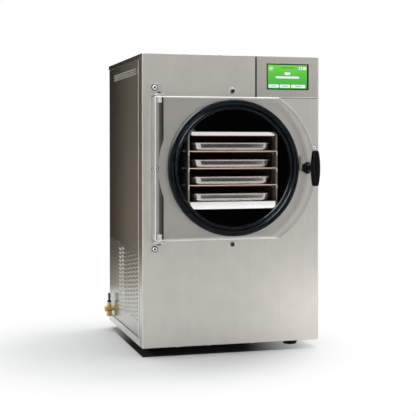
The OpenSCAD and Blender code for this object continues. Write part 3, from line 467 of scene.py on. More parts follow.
def pressed_zinc(name, base, metallic, roughness):
    """Zinc drawn into hoods: the same cells, duller and less even."""
    made = plain(name, base, metallic=metallic, roughness=roughness)
    tone(made, pattern(made, "CELLS", scale=170.0), base, 0.12, 0.0, 0.7)
    relief(made, pattern(made, scale=900.0, Detail=3.0), 0.00005, 0.3)
    return made


def dull_steel(name, base, metallic, roughness, swing, spots, lines, stretch, depth):
    """Plain sheet steel: tones in spots and fine drawn lines; both are patterns per metre."""
    made = plain(name, base, metallic=metallic, roughness=roughness)
    tone(made, pattern(made, **spots), base, swing)
    relief(made, pattern(made, scale=lines, stretch=stretch), depth, 0.3)
    return made


def painted(name, base, roughness, pits=0.00005, edge=0.0008, **sockets):
    """Powder-coated or moulded surface: fine orange-peel relief and uneven gloss."""
    made = plain(name, base, roughness=roughness, **sockets)
    peel = pattern(made, scale=900.0, Detail=2.0, Roughness=0.5)
    clouds = pattern(made, scale=35.0, Detail=3.0)
    tone(made, clouds, base, 0.14)
    rough(made, clouds, roughness * 0.85, min(1.0, roughness * 1.2))
    relief(made, peel, pits, 0.5, edge)
    return made


def moulded_rubber(name, base, roughness):
    """Rubber: dusty bloom in patches, faint flow lines round the axis and a soft gloss."""
    made = plain(name, base, roughness=roughness, Specular_IOR_Level=0.24,
                 Specular_Tint=(0.70, 0.86, 1.0, 1.0))
    bloom = pattern(made, scale=28.0, Detail=5.0, Roughness=0.7)
    dusty = [min(1.0, v * 1.4 + 0.001) for v in base]
    feed(made, "Base Color", ramp(made, bloom, [(0.3, base), (0.6, base), (0.85, dusty)]))
    rough(made, bloom, roughness * 0.85, roughness * 1.2)
    relief(made, pattern(made, scale=700.0, Detail=3.0), 0.00002, 0.3)
    return made


def turned_metal(name, base, low, high, ring_axis="Y"):
    """Machined or drawn metal: fine concentric-looking lines across the axis, small dark specks."""
    made = plain(name, base, metallic=1.0, roughness=(low + high) / 2)
    across = [1 if axis == ring_axis else 0.05 for axis in "XYZ"]
    lines = pattern(made, scale=3200.0, stretch=across, Detail=2.0)
    tone(made, pattern(made, scale=420.0, Detail=4.0, Roughness=0.7), base, 0.12)
    rough(made, lines, low, high)
    relief(made, lines, 0.00002, 0.35, 0.0004)
    return made


def clear_plastic(name, tint):
    """Clear acrylic: full transmission at 1.49, with faint wiping marks in its gloss."""
    made = plain(name, tint, roughness=0.0, IOR=1.49, Transmission_Weight=1.0,
                 Specular_Tint=(0.45, 0.45, 0.45, 1.0))
    wipe = pattern(made, scale=45.0, stretch=(1, 1, 0.25), turn=(0, 0.6, 0), Detail=4.0, Roughness=0.75)
    rough(made, wipe, 0.0, 0.012, 0.4, 0.8)
    return made


def frosted_edge(name, tint, glow):
    """Edge left by the cutter: a whitish, scattering skin with a painted glow, as strong as glow, standing in
    for the light piped to it.
    """
    made = plain(name, tint, roughness=0.5, IOR=1.49, Transmission_Weight=0.15,
                 Emission_Color=(1.0, 1.0, 1.0, 1.0), Emission_Strength=glow)
    lines = pattern(made, scale=900.0, Detail=2.0)
    tone(made, lines, tint, 0.03)
    rough(made, lines, 0.42, 0.6)
    return made


def dress(material, *nodes):
    """Gives carried-over nodes their finish through their material slots."""
    for node in nodes:
        for place in NODES[node].material_slots:
            place.material = material


# ---------------------------------------------------------------- stage
def flat(name, low, high, material):
    """Sheet of the stage, level from side to side, between its low and its high corner."""
    (x0, y0, z0), (x1, y1, z1) = low, high
    mesh = bpy.data.meshes.new(name)
    mesh.from_pydata([(x0, y0, z0), (x1, y0, z0), (x1, y1, z1), (x0, y1, z1)], [], [(0, 1, 2, 3)])
    mesh.materials.append(material)
    piece = bpy.data.objects.new(name, mesh)
    bpy.context.scene.collection.objects.link(piece)
    return piece


def card(name, low, high, tint, fades):
    """Studio card seen only in reflections: its brightness is the product of smooth fades, each
    (axis, from, to, brightness at from, brightness at to)."""
    made = bpy.data.materials.new(name)
    made.use_nodes = True
    tree = made.node_tree
    tree.nodes.remove(tree.nodes["Principled BSDF"])
    place, total = parts(tree, local(tree)), 1.0
    for axis, *ends in fades:
        total = reckon(tree, "MULTIPLY", total, mapped(tree, place[axis], *ends))
    glow = wire(tree, "ShaderNodeEmission", {"Color": (*tint, 1.0), "Strength": total})
    mirrored = reckon(tree, "GREATER_THAN", wire(tree, "ShaderNodeLightPath").outputs["Glossy Depth"], 0.5)
    clear_way = wire(tree, "ShaderNodeBsdfTransparent").outputs["BSDF"]
    blend(tree, mirrored, clear_way, glow.outputs["Emission"])
    piece = flat(name, low, high, made)
    for ray in ("camera", "diffuse", "volume_scatter", "shadow"):
        setattr(piece, "visible_" + ray, False)


def seen_sharply(tree):
    """One for rays that have met no matt surface: the camera's, mirrored ones and those through
    the clear door."""
    path = wire(tree, "ShaderNodeLightPath").outputs
    seen = reckon(tree, "MAXIMUM", path["Is Camera Ray"], path["Is Glossy Ray"])
    seen = reckon(tree, "MAXIMUM", seen, path["Is Transmission Ray"])
    return reckon(tree, "MULTIPLY", seen, reckon(tree, "LESS_THAN", path["Diffuse Depth"], 0.5))


def between(tree, value, start, stop, soft):
    """Smooth step up at start times smooth step down at stop, each its own width."""
    up = mapped(tree, value, start, start + soft[0], 0.0, 1.0)
    return reckon(tree, "MULTIPLY", up, mapped(tree, value, stop, stop - soft[1], 0.0, 1.0))


def strip(name, place, target, wide, tall, power, tint):
    """Narrow lamp box that shows only in gloss, as the bright lines on round edges."""
    box = lamp(name, place, target, wide, power, tint)
    box.data.shape = "RECTANGLE"
    box.data.size_y = tall
    box.visible_diffuse = box.visible_camera = box.visible_transmission = False


def lamp(name, place, target, size, power, tint=(1.0, 1.0, 1.0)):
    """Square soft lamp at a place, turned to a target."""
    light = bpy.data.lights.new(name, "AREA")
    light.energy, light.size, light.color = power, size, tint
    piece = bpy.data.objects.new(name, light)
    bpy.context.scene.collection.objects.link(piece)
    piece.location = place
    piece.rotation_euler = (Vector(target) - Vector(place)).to_track_quat("-Z", "Y").to_euler()
    return piece


class DRYER_OT_stage(bpy.types.Operator):
    """Builds the pale floor, the white room, the lamps, the reflection cards and the camera"""

    bl_idname = "dryer.stage"
    bl_label = "Stage"

    def execute(self, context):
        scene, cut = context.scene, context.scene.dryer_stage
        scene.view_settings.view_transform = "Standard"

        world = bpy.data.worlds.new("white_room")
        scene.world = world
        world.use_nodes = True
        tree = world.node_tree
        back = tree.nodes["Background"]
        back.inputs["Color"].default_value = (1, 1, 1, 1)
        level = mapped(tree, seen_sharply(tree), 0.0, 1.0, cut.sky, 1.0, "LINEAR")
        tree.links.new(level, back.inputs["Strength"])

        paper = plain("floor_paper", cut.floor, roughness=0.75)
        tone(paper, pattern(paper, scale=3.0, Detail=3.0), cut.floor, 0.01)
        relief(paper, pattern(paper, scale=220.0, Detail=2.0), 0.0001, 0.15)
        tree = paper.node_tree
        where = local(tree)
        # far from the object the paper turns into the white room
        centre = wire(tree, "ShaderNodeMapping", {"Vector": where, "Location": (0.18, 0.05, 0.0)})
        away = wire(tree, "ShaderNodeVectorMath", {0: centre.outputs["Vector"]}, operation="LENGTH")
        far = mapped(tree, away.outputs["Value"], 0.24, 0.54, 0.0, 1.0)
        share = reckon(tree, "MULTIPLY", far, seen_sharply(tree))
        # painted shadow on the paper under the base, up to the foot at the right
        place = parts(tree, where)
        across = between(tree, place["X"], PANEL_LO.x, PANEL_HI.x, (0.003, 0.06))
        along = between(tree, place["Y"], PANEL_LO.y, BASE_HI.y - 0.015, (0.003, 0.24))
        shade_where(paper, reckon(tree, "MULTIPLY", across, along), 0.015)
        white = wire(tree, "ShaderNodeEmission", {"Strength": 1.0}).outputs["Emission"]
        blend(tree, share, shader_of(paper).outputs["BSDF"], white)
        flat("floor", (-9.0, -9.0, 0.0), (9.0, 9.0, 0.0), paper)

        card("card_left", (-1.6, 0.95, 0.0), (-0.215, 0.95, 2.4), (1.0, 0.86, 0.68),
             [("Z", 0.0, 0.15, 0.52, 0.135), ("Z", 0.20, 0.65, 1.15, 0.85),
              ("X", -0.342, -0.412, 0.30, 1.48)])
        card("card_front", (-0.05, -3.0, 0.0), (1.6, -3.0, 0.85), (1.0, 1.0, 1.0),
             [("Z", 0.0, 0.1, 0.10, 0.025)])
        card("card_top", (-3.0, -3.1, 0.85), (3.2, -2.4, 3.6), (1.0, 0.99, 0.98),
             [("Z", 0.85, 2.0, 1.05, 0.72), ("X", 0.2, 1.5, 0.83, 1.05)])

        lamp("top_lamp", (0.15, 0.35, 2.4), (0.1, 0.1, 0.0), 2.2, cut.key)
        lamp("front_lamp", (-1.7, -2.0, 1.7), (0.0, 0.0, 0.4), 0.9, cut.fill, (1.0, 0.99, 0.97))

        strip("low_strip", (0.40, -0.47, 0.055), (0.24, -0.16, 0.05), 0.30, 0.11, 0.105, (1.0, 0.98, 0.95))
        strip("high_strip", (0.3, -0.36, 2.1), (0.0, -0.17, 0.45), 1.1, 0.3, 8.0, (0.72, 0.87, 1.0))

        lens = bpy.data.cameras.new("camera")
        lens.sensor_width, lens.lens = 36.0, 89.17
        lens.shift_y = -0.104
        eye = bpy.data.objects.new("camera", lens)
        scene.collection.objects.link(eye)
        eye.location = (-0.6866, -2.4190, 0.4744)
        eye.rotation_euler = (math.radians(88.95), 0.0, math.radians(-15.83))
        scene.camera = eye
        return {"FINISHED"}


# ---------------------------------------------------------------- cabinet
def fold_shell(x, y, z0, z1, half_x, half_y, ripple=0.0):
    """Upright bar with an oval section: x = a cos t, y = b sin t; ripple swells it in steps of half
    the slots' pitch over its lower third, as one column of slots lies half a pitch above the next."""
    z = np.linspace(z0, z1, 150 if ripple else 2)[:, None]
    low = np.clip((z0 + 0.25 - z) / 0.2, 0, 1)
    swell = low * ripple * (0.5 - 0.5 * np.cos(2 * np.pi * (z - z0) / (SLOT_PITCH / 2)))
    t = np.linspace(0, 2 * np.pi, 14, endpoint=False)
    x = x + (half_x - ripple + swell) * np.cos(t)
    return tube_shell(grid_points(x, y + (half_y + 3 * swell) * np.sin(t), z))


def hood_shell(side, y, z, half_l, half_h, out, flat, rows, finish=0):
    """Pressed hood over a slot: its section leans out towards the lower edge and is scaled along
    the slot by (1 - |s|^n)^0.5, so both ends close; n follows the flat share."""
    s = np.linspace(-0.995, 0.995, rows)[:, None]
    n = 2.0 / (1.0 - flat + 0.05)
    k = np.sqrt(1 - np.abs(s) ** n)
    rise = np.array([-0.25, 0.75, 1.0, 0.64, 0.24, -0.25])
    up = np.array([-1.0, -0.85, -0.45, 0.1, 0.7, 1.0])
    sunk = 0.0016       # from the cabinet's side back to the sheet that the hood is pressed from
    base = PANEL_LO.x + sunk if side < 0 else PANEL_HI.x - sunk
    x = base + side * out * np.where(rise > 0, rise * k, rise)
    return tube_shell(grid_points(x, y + s * half_l, z + up * half_h * (0.35 + 0.65 * k)), finish)


class DRYER_OT_cabinet(bpy.types.Operator):
    """Finishes the folded cabinet sheets, the base and the vent panels"""

    bl_idname = "dryer.cabinet"
    bl_label = "Cabinet Sheets"

    def execute(self, context):
        cut = context.scene.dryer_finish
        thick, thin = ({"edge": edge, "stretch": cut.grain} for edge in (cut.edge, 0.0006))
        front = brushed_steel("brushed_front_steel", cut.front, 0.38, 0.48, drift=0.025, **thick)
        # painted shade on the front panel's sideways returns
        paint_flank_shade(front, 0.62, 0.45)
        dress(front, "front_panel")
        upper = tuple(0.98 * v for v in cut.front)
        dress(brushed_steel("brushed_control_steel", upper, 0.25, 0.4, **thick), "control_panel")
        dress(brushed_steel("brushed_pan_steel", cut.front, 0.25, 0.4, "Y", **thick), "base_pan")
        cover = brushed_steel("brushed_cover_steel", cut.front, 0.25, 0.4, "Y", **thick)
        # painted shade on the cover's sideways faces
        paint_flank_shade(cover, 0.16, 0.5)
        # satin top face with painted shade on it, so that the lamp over it doesn't bleach it
        top = facing(cover, "Z")
        shade_where(cover, top, 0.52)
        feed(cover, "Metallic", spread(cover, top, 1.0, 0.15, 0.0, 1.0))
        dress(cover, "top_cover")
        dress(brushed_steel("brushed_back_steel", cut.side, 0.3, 0.45, **thin), "back_panel")
        sides = brushed_steel("brushed_side_steel", cut.side, 0.09, 0.16, "Y", **thin)
        dress(sides, "left_side_panel", "right_side_panel")
        zinc = zinc_sheet("zinc_vent_sheet", cut.zinc)
        dress(zinc, "left_vent_panel", "right_vent_panel")
        dress(painted("black_frame_paint", (0.02, 0.02, 0.021), 0.5), "chamber_bulkhead", "chamber_cradle")

        # bright folds: both front corners, the rolled hem of each side sheet, the cover's lower edge; the
        # corner and hem beads are pale and not metallic, a painted highlight line
        bright = turned_metal("bright_fold_steel", (0.86, 0.88, 0.80), 0.2, 0.34, "Z")
        hem = dull_steel("hem_painted_highlight", (0.93, 0.95, 0.87), 0.0, 0.35, 0.06,
                         {"scale": 90.0, "stretch": (1, 1, 0.1)}, 1500.0, (1, 1, 0.02), 0.00002)
        lip_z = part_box("left_side_panel")[1].z + 0.0003
        hem_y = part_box("left_side_panel")[0].y + 0.0165
        lip_ends = (PANEL_HI.y + 0.0006, BASE_HI.y - 0.0006)
        folds = []
        for side, x, in_by in ((-1, PANEL_LO.x, 0.0005), (1, PANEL_HI.x, 0.0007)):
            folds += [fold_shell(x - side * 0.0014, FRONT_Y + 0.0012, BASE_LO.z + 0.0005, PANEL_HI.z - 0.0005,
                                 0.0014, 0.0014),
                      fold_shell(x - side * 0.0016, hem_y, BASE_LO.z + 0.018, lip_z - 0.0005,
                                 0.00155, 0.0034, 0.00035),
                      swept_tube([(x - side * in_by, y, lip_z) for y in lip_ends], 0.0006, 8, 1)]
        make_piece("bright_folds", folds, "cabinet", [hem, bright])

        hood_zinc = pressed_zinc("louvre_zinc", (0.46, 0.475, 0.42), 0.45, 0.42)
        louvres = [hood_shell(side, PANEL_LO.y + 0.2028, z + 0.0020, 0.1480, 0.0025, 0.00158, 0.97, 16)
                   for side in (-1, 1) for z in PANEL_HI.z - 0.043 + 0.0054 * np.arange(3)]
        make_piece("long_louvres", louvres, "cabinet", [hood_zinc])
        # the two rearmost columns of hoods get a paler zinc: a painted highlight
        painted_highlight_zinc = pressed_zinc("painted_highlight_zinc", (0.66, 0.69, 0.63), 0.3, 0.4)
        # middle of the first hood: the first slot's corner, and half a slot's length and height
        first_y, first_z = PANEL_LO.y + 0.0473 + 0.0125, 0.0711 + 0.0023
        hoods = []
        for side in (-1, 1):
            for column, row in np.ndindex(7, 16):
                y, z = first_y + 0.034 * column, first_z + SLOT_PITCH * (row + 0.5 * (column % 2))
                high, out, finish = (0.0030, 0.0012, 1) if column > 4 else (0.0034, 0.0005, 0)
                hoods.append(hood_shell(side, y, z, 0.0132, high, out, 0.7, 9, finish))
        make_piece("vent_hoods", hoods, "cabinet", [zinc, painted_highlight_zinc], 60)

        # seam under the control panel: a dark gap and the panel's light edge over it
        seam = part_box("control_panel")[0]
        dark = painted("seam_shadow", (0.02, 0.019, 0.018), 0.6, 0.00004, 0.0)
        lines = []
        for low, high, out, corner, edge, finish in ((-0.0012, -0.0002, 0.0002, 0.0003, 0.00015, 1),
                                                     (0.0, 0.0011, 0.0004, 0.0004, 0.0003, 0)):
            near, far = (seam.x, FRONT_Y - out), (PANEL_HI.x - 0.0004, FRONT_Y + out)
            lines.append(pad_shell((*near, seam.z + low), (*far, seam.z + high), corner, edge, "-Y", finish))
        make_piece("control_seam", lines, "cabinet", [bright, dark])

        # pan heads of the screws that hold the front panel's bottom flange, seen from below
        head = [(0.0015, 0.0), (0.0032, 0.0), (0.0032, -0.0008), (0.0026, -0.0019), (0.0012, -0.0024),
                (0.0002, -0.0025)]
        heads = [tube_shell(turned(head, (x, FRONT_Y + 0.0065, BASE_LO.z), "Z", 16))
                 for x in AXIS_X + np.array([-0.128, -0.054, 0.049, 0.124, 0.185])]
        make_piece("flange_screw_heads", heads, "cabinet", [bright])
        return {"FINISHED"}


class DRYER_OT_feet(bpy.types.Operator):
    """Turns the four rubber feet: a cone with a rounded tread and a shallow bead under the base"""

    bl_idname = "dryer.feet"
    bl_label = "Rubber Feet"

    def execute(self, context):
        rubber = moulded_rubber("foot_rubber", context.scene.dryer_finish.rubber, 0.6)
        for node in ("foot_front_left", "foot_front_right", "foot_rear_left", "foot_rear_right"):
            lo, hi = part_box(node)
            top, r_top = PANEL_LO.z, (hi.x - lo.x) / 2
            r_low = r_top * 33 / 46     # 33 mm across the tread, 46 mm at the top
            c, s = quarter(0.003, -90, -10)
            tread = np.column_stack([r_low - 0.003 + c, 0.003 + s])
            rest = [(r_top - 0.002, top - 0.005), (r_top, top - 0.0035), (r_top, top - 0.0012),
                    (r_top - 0.0008, top - 0.0002), (0.004, top - 0.0002), (0.004, hi.z)]
            centre = ((lo.x + hi.x) / 2, (lo.y + hi.y) / 2, 0.0)
            shell = tube_shell(turned(np.vstack([tread, rest]), centre, "Z", 40))
            make_piece(node + "_rubber", [shell], "cabinet", [rubber], replaces=[node])
        return {"FINISHED"}


# ---------------------------------------------------------------- chamber
class DRYER_OT_chamber(bpy.types.Operator):
    """Finishes the drum and turns the door seal with its two beads"""

    bl_idname = "dryer.chamber"
    bl_label = "Chamber and Seal"

    def execute(self, context):
        finish, cut = context.scene.dryer_finish, context.scene.dryer_seal
        inside = painted("black_chamber_coat", (0.0028, 0.003, 0.0036), 0.42, 0.00004, 0.0,
                         Specular_IOR_Level=0.12)
        dress(inside, "chamber_drum")
        dress(painted("foam_jacket", (0.016, 0.016, 0.017), 0.8, 0.0004, 0.0), "chamber_foam")
        dress(turned_metal("drawn_copper", (0.72, 0.36, 0.22), 0.2, 0.42, "Z"), "cooling_coil")

        lo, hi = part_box("door_gasket")
        front, back = FRONT_Y - lo.y, FRONT_Y - hi.y
        t = np.radians(np.linspace(-10, 190, 15))

        def bead(radius, half, foot, rise, under):
            """Profile of a bead: r = radius + half cos t, height = foot + rise sin(t)^0.8."""
            height = foot + rise * np.clip(np.sin(t), 0, 1) ** 0.8 + np.minimum(np.sin(t), 0) * under
            return np.column_stack([radius + half * np.cos(t), height])

        # outer bead, groove, inner lip, then round the back past the drum's rim
        swell, lip = (cut.outer - cut.groove) / 2 - 0.0006, (cut.groove - cut.inner) / 2 - 0.0004
        outer = bead(cut.outer - swell, swell, front - 0.0052, 0.0052, 0.004)
        inner = bead(cut.inner + lip, lip, front - 0.0042, 0.0036, 0.003)
        deep = front - cut.groove_depth - 0.003
        groove = [(cut.groove + 0.0006, deep), (cut.groove - 0.0006, deep)]
        rim_in = (DRUM_HI.x - DRUM_LO.x) / 2 - 0.0203
        foot = [(cut.inner + 0.0008, back), (rim_in, back), (rim_in, back + 0.0042),
                (rim_in + 0.0026, back + 0.0042), (rim_in + 0.0026, back), (cut.outer - 0.0008, back)]
        profile = np.vstack([outer, groove, inner, foot])
        points = turned(profile * [1, -1], (AXIS_X, FRONT_Y, AXIS_Z), "Y", 160)
        seal = moulded_rubber("seal_rubber", finish.rubber, 0.17)
        # painted highlight along the upper left of the beads, and a fainter painted highlight at the lower
        # right
        upper = [(0.0, (0, 0, 0)), (0.5, (0.030, 0.042, 0.056)), (0.8, (0.20, 0.25, 0.30)),
                 (0.9, (0.9, 0.95, 1.0)), (1.0, (0.9, 0.95, 1.0))]
        lower = [(0.0, (0, 0, 0)), (0.6, (0.02, 0.026, 0.034)), (1.0, (0.20, 0.24, 0.28))]
        for way, low, high, stops in (((-0.66, -0.52, 0.54), 0.80, 0.985, upper),
                                      ((0.55, -0.62, -0.56), 0.93, 1.0, lower)):
            lit = spread(seal, leaning(seal, way), 0.0, 1.0, low, high)
            overlay(seal, ramp(seal, lit, stops), "ADD")
        make_piece("door_seal", [ring_shell(points)], "cabinet", [seal], 40,
                   replaces=["door_gasket"])
        return {"FINISHED"}


class DRYER_OT_rack(bpy.types.Operator):
    """Finishes the shelf rack, its heater pads and leads, and adds the rolled shelf fronts"""

    bl_idname = "dryer.rack"
    bl_label = "Shelf Rack"

    def execute(self, context):
        bright = brushed_steel("bright_rack_steel", (0.97, 0.96, 0.94), 0.16, 0.28, "X", 0.0005, 60.0)
        dress(bright, *["shelf_%d" % n for n in range(1, 6)])
        sides = dull_steel("rack_side_steel", (0.40, 0.345, 0.30), 0.55, 0.42, 0.15,
                           {"scale": 60.0, "Detail": 3.0}, 1200.0, (1, 1, 0.02), 0.00003)
        dress(sides, "rack_left_side", "rack_right_side")
        dress(painted("heater_pad_silicone", (0.62, 0.085, 0.02), 0.48, 0.00015, 0.0), "heater_pads")
        lead = painted("lead_sleeve", (0.055, 0.022, 0.010), 0.4, 0.00008, 0.0, Specular_IOR_Level=0.3)
        dress(lead, "heater_leads")

        # each side plate's cut front edge rolled to a bead: half a turn round its thickness
        left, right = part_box("rack_left_side")[0].x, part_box("rack_right_side")[1].x
        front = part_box("rack_left_side")[0].y
        steps = np.radians(np.linspace(90, 270, 7))
        a = np.concatenate([[0.0016], 0.00085 * np.cos(steps), [0.0016]])
        b = np.concatenate([[0.00078], 0.00085 * np.sin(steps), [-0.00078]])
        beads = []
        for node, x in (("rack_left_side", left + 0.00075), ("rack_right_side", right - 0.00075)):
            lo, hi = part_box(node)
            heights = np.array([[lo.z + 0.0005], [hi.z - 0.006]])
            beads.append(tube_shell(grid_points(x + b, lo.y + 0.0010 + a, heights)))
        # painted glow on the beads and the rolled shelf fronts
        bead = painted("bead_steel_painted_glow", (0.93, 0.90, 0.84), 0.3, 0.00002, 0.0, Metallic=0.3,
                       Emission_Color=(1.0, 0.96, 0.88, 1.0), Emission_Strength=0.30)
        make_piece("rack_edge_beads", beads, "cabinet", [bead])

        # front lips that lean back, and rolled shelf fronts that bend down into the side plates
        lips = []
        for node, inset in (("shelf_5", 0.0073), ("shelf_1", 0.0050)):
            lo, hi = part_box(node)
            y, z = np.array([(0.0008, lo.z + 0.0002), (-0.0026, lo.z), (-0.0029, lo.z + 0.0006),
                             (-0.0006, hi.z - 0.0008), (-0.0002, hi.z + 0.0001), (0.0008, hi.z + 0.0001)]).T
            lips.append(tube_shell(grid_points([[left + inset], [right - inset]], front + y, z), 1))
        bend, near, far = 0.0036, left + 0.0008, right - 0.0008
        t = np.radians(np.linspace(180, 90, 8))
        corner = bend * np.column_stack([np.cos(t), np.sin(t)])
        for n in range(2, 5):
            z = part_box("shelf_%d" % n)[1].z - 0.0007
            across = np.column_stack([np.linspace(left + 0.012, right - 0.012, 6), np.full(6, z)])
            x, z = np.vstack([(near, z - 0.009), corner + [near + bend, z - bend], across,
                              corner[::-1] * [-1, 1] + [far - bend, z - bend], (far, z - 0.009)]).T
            lips.append(swept_tube(np.column_stack([x, np.full_like(x, front - 0.0003), z]), 0.0009, 10))
        lip = brushed_steel("lip_steel_painted_glow", (0.98, 0.97, 0.96), 0.08, 0.13, "X", 0.0, 60.0)
        # painted glow on the leaning front lips
        shader_of(lip).inputs["Emission Color"].default_value = (1.0, 0.98, 0.97, 1.0)
        shader_of(lip).inputs["Emission Strength"].default_value = 0.16
        make_piece("shelf_fronts", lips, "cabinet", [bead, lip])

        # orange silicone edge of each heater pad, just under its shelf's front, with a painted orange glow
        red = painted("pad_edge_silicone_painted_glow", (0.50, 0.10, 0.03), 0.4, 0.00004, 0.0,
                      Emission_Color=(1.0, 0.22, 0.06, 1.0), Emission_Strength=0.10)
        edges = []
        for n in range(2, 6):
            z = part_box("shelf_%d" % n)[1].z - 0.0022 if n < 5 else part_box("shelf_5")[0].z - 0.0002
            low, high = (left + 0.012, front + 0.0005, z - 0.0012), (right - 0.012, front + 0.003, z)
            edges.append(pad_shell(low, high, 0.0005, 0.0003, "-Y", 0, 1))
        make_piece("pad_edges", edges, "cabinet", [red])

        # ring terminals where the leads meet the pads
        brass = turned_metal("terminal_brass", (0.80, 0.58, 0.25), 0.2, 0.35, "Y")
        studs = []
        for n in range(2, 6):
            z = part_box("shelf_%d" % n)[1].z - (0.0062 if n < 5 else 0.0104)
            for x, r in ((right - 0.0062, 0.0013), (right - 0.0098, 0.0010)):
                stud = [(0.0002, 0.0), (r * 0.8, 0.0), (r, 0.0005), (r, 0.0045), (0.0002, 0.0046)]
                studs.append(tube_shell(turned(stud, (x, front + 0.006, z), "Y", 14)))
        make_piece("pad_terminals", studs, "cabinet", [brass])
        return {"FINISHED"}


def tray_shell(lo, hi, cut):
    """Tray pressed from one sheet: outlines go from the floor's middle out round its bottom radius,
    up the flared wall, over the rim and down its turned edge, then back along the inner face one
    wall's thickness away."""
    w, l, h = hi.x - lo.x + 2 * cut.spread, hi.y - lo.y, hi.z - lo.z
    flare, b, t = cut.upright, cut.bottom, cut.wall
    c, s = quarter(1.0, -90, -12)
    foot, top = cut.rim + flare + b, cut.rim + 0.0006
    # outer face, then inner: how far the outline is drawn in from the rim's edge, and its height
    out_in = np.concatenate([[cut.rim + flare + b * 1.6], foot - b * c, [top + 0.8 * flare, top, top],
                             [cut.rim - 0.0002, t, t, 0.0003, 0.0]])
    out_z = np.concatenate([[0.0], b + b * s, [b + 0.0012, h - 0.0030, h - 0.0020],
                            [h - 0.0009, h - 0.0009, h - 0.0022, h - 0.0026, h - 0.0022]])
    in_in = np.concatenate([[0.0, 0.0004, 0.0011, cut.rim - 0.0004, cut.rim + 0.0008],
                            (foot - (b - t) * c)[::-1], [cut.rim + flare + b * 1.6]])
    in_z = np.concatenate([[h - 0.0010, h - 0.0003, h, h, h - 0.0010], (b + (b - t) * s)[::-1], [t]])
    inset, z = np.concatenate([out_in, in_in]), np.concatenate([out_z, in_z])
    corner = np.maximum(cut.corner + cut.rim - inset * 0.6, 0.002)
    a, bb = rounded_rings(w - 2 * inset - 2 * cut.taper * (1 - z / h), l - 2 * inset, corner, 9)
    # more points along the straight walls, which bow out by a share of the length: y(1 - k(2x/w)^2)
    between_corners = [9.0 * k - 1 + np.arange(1, 10) / 10 for k in range(1, 5)]
    at = np.unique(np.concatenate([np.arange(36.0)] + between_corners))
    left, share = np.floor(at).astype(int), at % 1
    a, bb = (v[:, left] * (1 - share) + v[:, (left + 1) % 36] * share for v in (a, bb))
    bb = bb * (1 - cut.bow * (2 * a / w) ** 2)
    centre = ((lo.x + hi.x) / 2, (lo.y + hi.y) / 2, lo.z)
    return tube_shell(lay(a, bb, z[:, None], centre, "Z"))


class DRYER_OT_trays(bpy.types.Operator):
    """Presses the four trays from one sheet each, with a flared wall and a turned rim"""

    bl_idname = "dryer.trays"
    bl_label = "Trays"

    def execute(self, context):
        cut = context.scene.dryer_trays
        steel = brushed_steel("satin_tray_steel", (0.63, 0.60, 0.56), 0.16, 0.2, "X", 0.0, 12.0)
        for n in range(1, 5):
            node = "tray_%d" % n
            shell = tray_shell(*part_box(node), cut)
            make_piece(node + "_pressed", [shell], "cabinet", [steel], 50, replaces=[node])
        return {"FINISHED"}


# ---------------------------------------------------------------- door, hinge and latch
def door_outline(inset, round_inset, corner):
    """Outline of the door drawn in by inset, one row each, round the chamber's axis: the latch
    side is an arc of radius R - e', with its own inset, between heights -(H - e) and H - e, the
    hinge side is square with two small round corners."""
    e = np.asarray(inset, float).reshape(-1, 1)
    fine = np.asarray(round_inset, float).reshape(-1, 1)
    half_h = (DOOR_HI.z - DOOR_LO.z) / 2 - e
    reach = AXIS_X - DOOR_LO.x - e
    radius = DOOR_HI.x - AXIS_X - fine
    limit = np.arcsin(half_h / radius)
    arc = limit * np.linspace(-1, 1, 160)
    r = np.maximum(corner - e, 0.0004)
    t = np.linspace(0, np.pi / 2, 7)
    up, down = t + np.pi / 2, t + np.pi
    x = np.concatenate([radius * np.cos(arc), r - reach + r * np.cos(up), r - reach + r * np.cos(down)], 1)
    z = np.concatenate([radius * np.sin(arc), half_h - r + r * np.sin(up), r - half_h + r * np.sin(down)], 1)
    return x, z


class DRYER_OT_door(bpy.types.Operator):
    """Cuts the clear door: a half-round plate with frosted chamfers and a bored hole for the latch"""

    bl_idname = "dryer.door"
    bl_label = "Clear Door"

    def execute(self, context):
        cut = context.scene.dryer_door
        c = cut.chamfer
        front, back = DOOR_LO.y, DOOR_HI.y
        # rows of the outline: front face's edge, chamfer, side wall, chamfer, back face's edge
        fine = 0.7 * c
        x, z = door_outline([c, 0.0, 0.0, c], [fine, 0.0, 0.0, fine], cut.corner)
        y = np.array([[front], [front + c], [back - c], [back]])
        outer = grid_points(x + AXIS_X, y, z + AXIS_Z)
        bore = 0.00805      # radius of the latch's hole
        angle = np.arctan2(z[0], x[0] + AXIS_X - LATCH_X)
        hole = grid_points(LATCH_X + bore * np.cos(angle), [[back], [front]], AXIS_Z + bore * np.sin(angle))
        points = np.concatenate([outer, hole])
        shell = ring_shell(points)
        # numbers of the finishes: both chamfers frosted, flat sides sawn, the round rim and its back
        # chamfer polished, the lower part of its front chamfer shaded
        finish = np.zeros(points.shape[:2], int)
        finish[[0, 2]] = 1
        middle = (outer[1] + np.roll(outer[1], -1, axis=0)) / 2
        flat_side = abs(middle[:, 2] - AXIS_Z) > abs(z).max() - 0.0001
        flat_side |= middle[:, 0] < DOOR_LO.x + cut.corner
        finish[1, flat_side] = 2
        finish[1:3, ~flat_side] = 3
        finish[0, ~flat_side & (middle[:, 2] < AXIS_Z - 0.03)] = 4
        shell["finish"] = finish.ravel()
        clear = clear_plastic("clear_acrylic", cut.tint)
        # painted glow on the frosted chamfers
        frosted = frosted_edge("frosted_acrylic_edge_painted_glow", (0.95, 0.96, 0.96), 0.18)
        sawn = frosted_edge("sawn_acrylic_side", (0.80, 0.79, 0.76), 0.0)
        shader_of(sawn).inputs["Transmission Weight"].default_value = 0.55
        polished = frosted_edge("polished_acrylic_rim", (0.90, 0.91, 0.91), 0.0)
        tree = polished.node_tree
        skin = 0.18         # share of the light that the polished rim scatters; the rest passes
        clear_way = wire(tree, "ShaderNodeBsdfTransparent").outputs["BSDF"]
        blend(tree, skin, clear_way, shader_of(polished).outputs["BSDF"])
        shaded = frosted_edge("shaded_acrylic_edge", (0.16, 0.16, 0.16), 0.0)
        finishes = [clear, frosted, sawn, polished, shaded]
        make_piece("clear_door", [shell], "door", finishes, 25, replaces=["door_slab"])
        return {"FINISHED"}


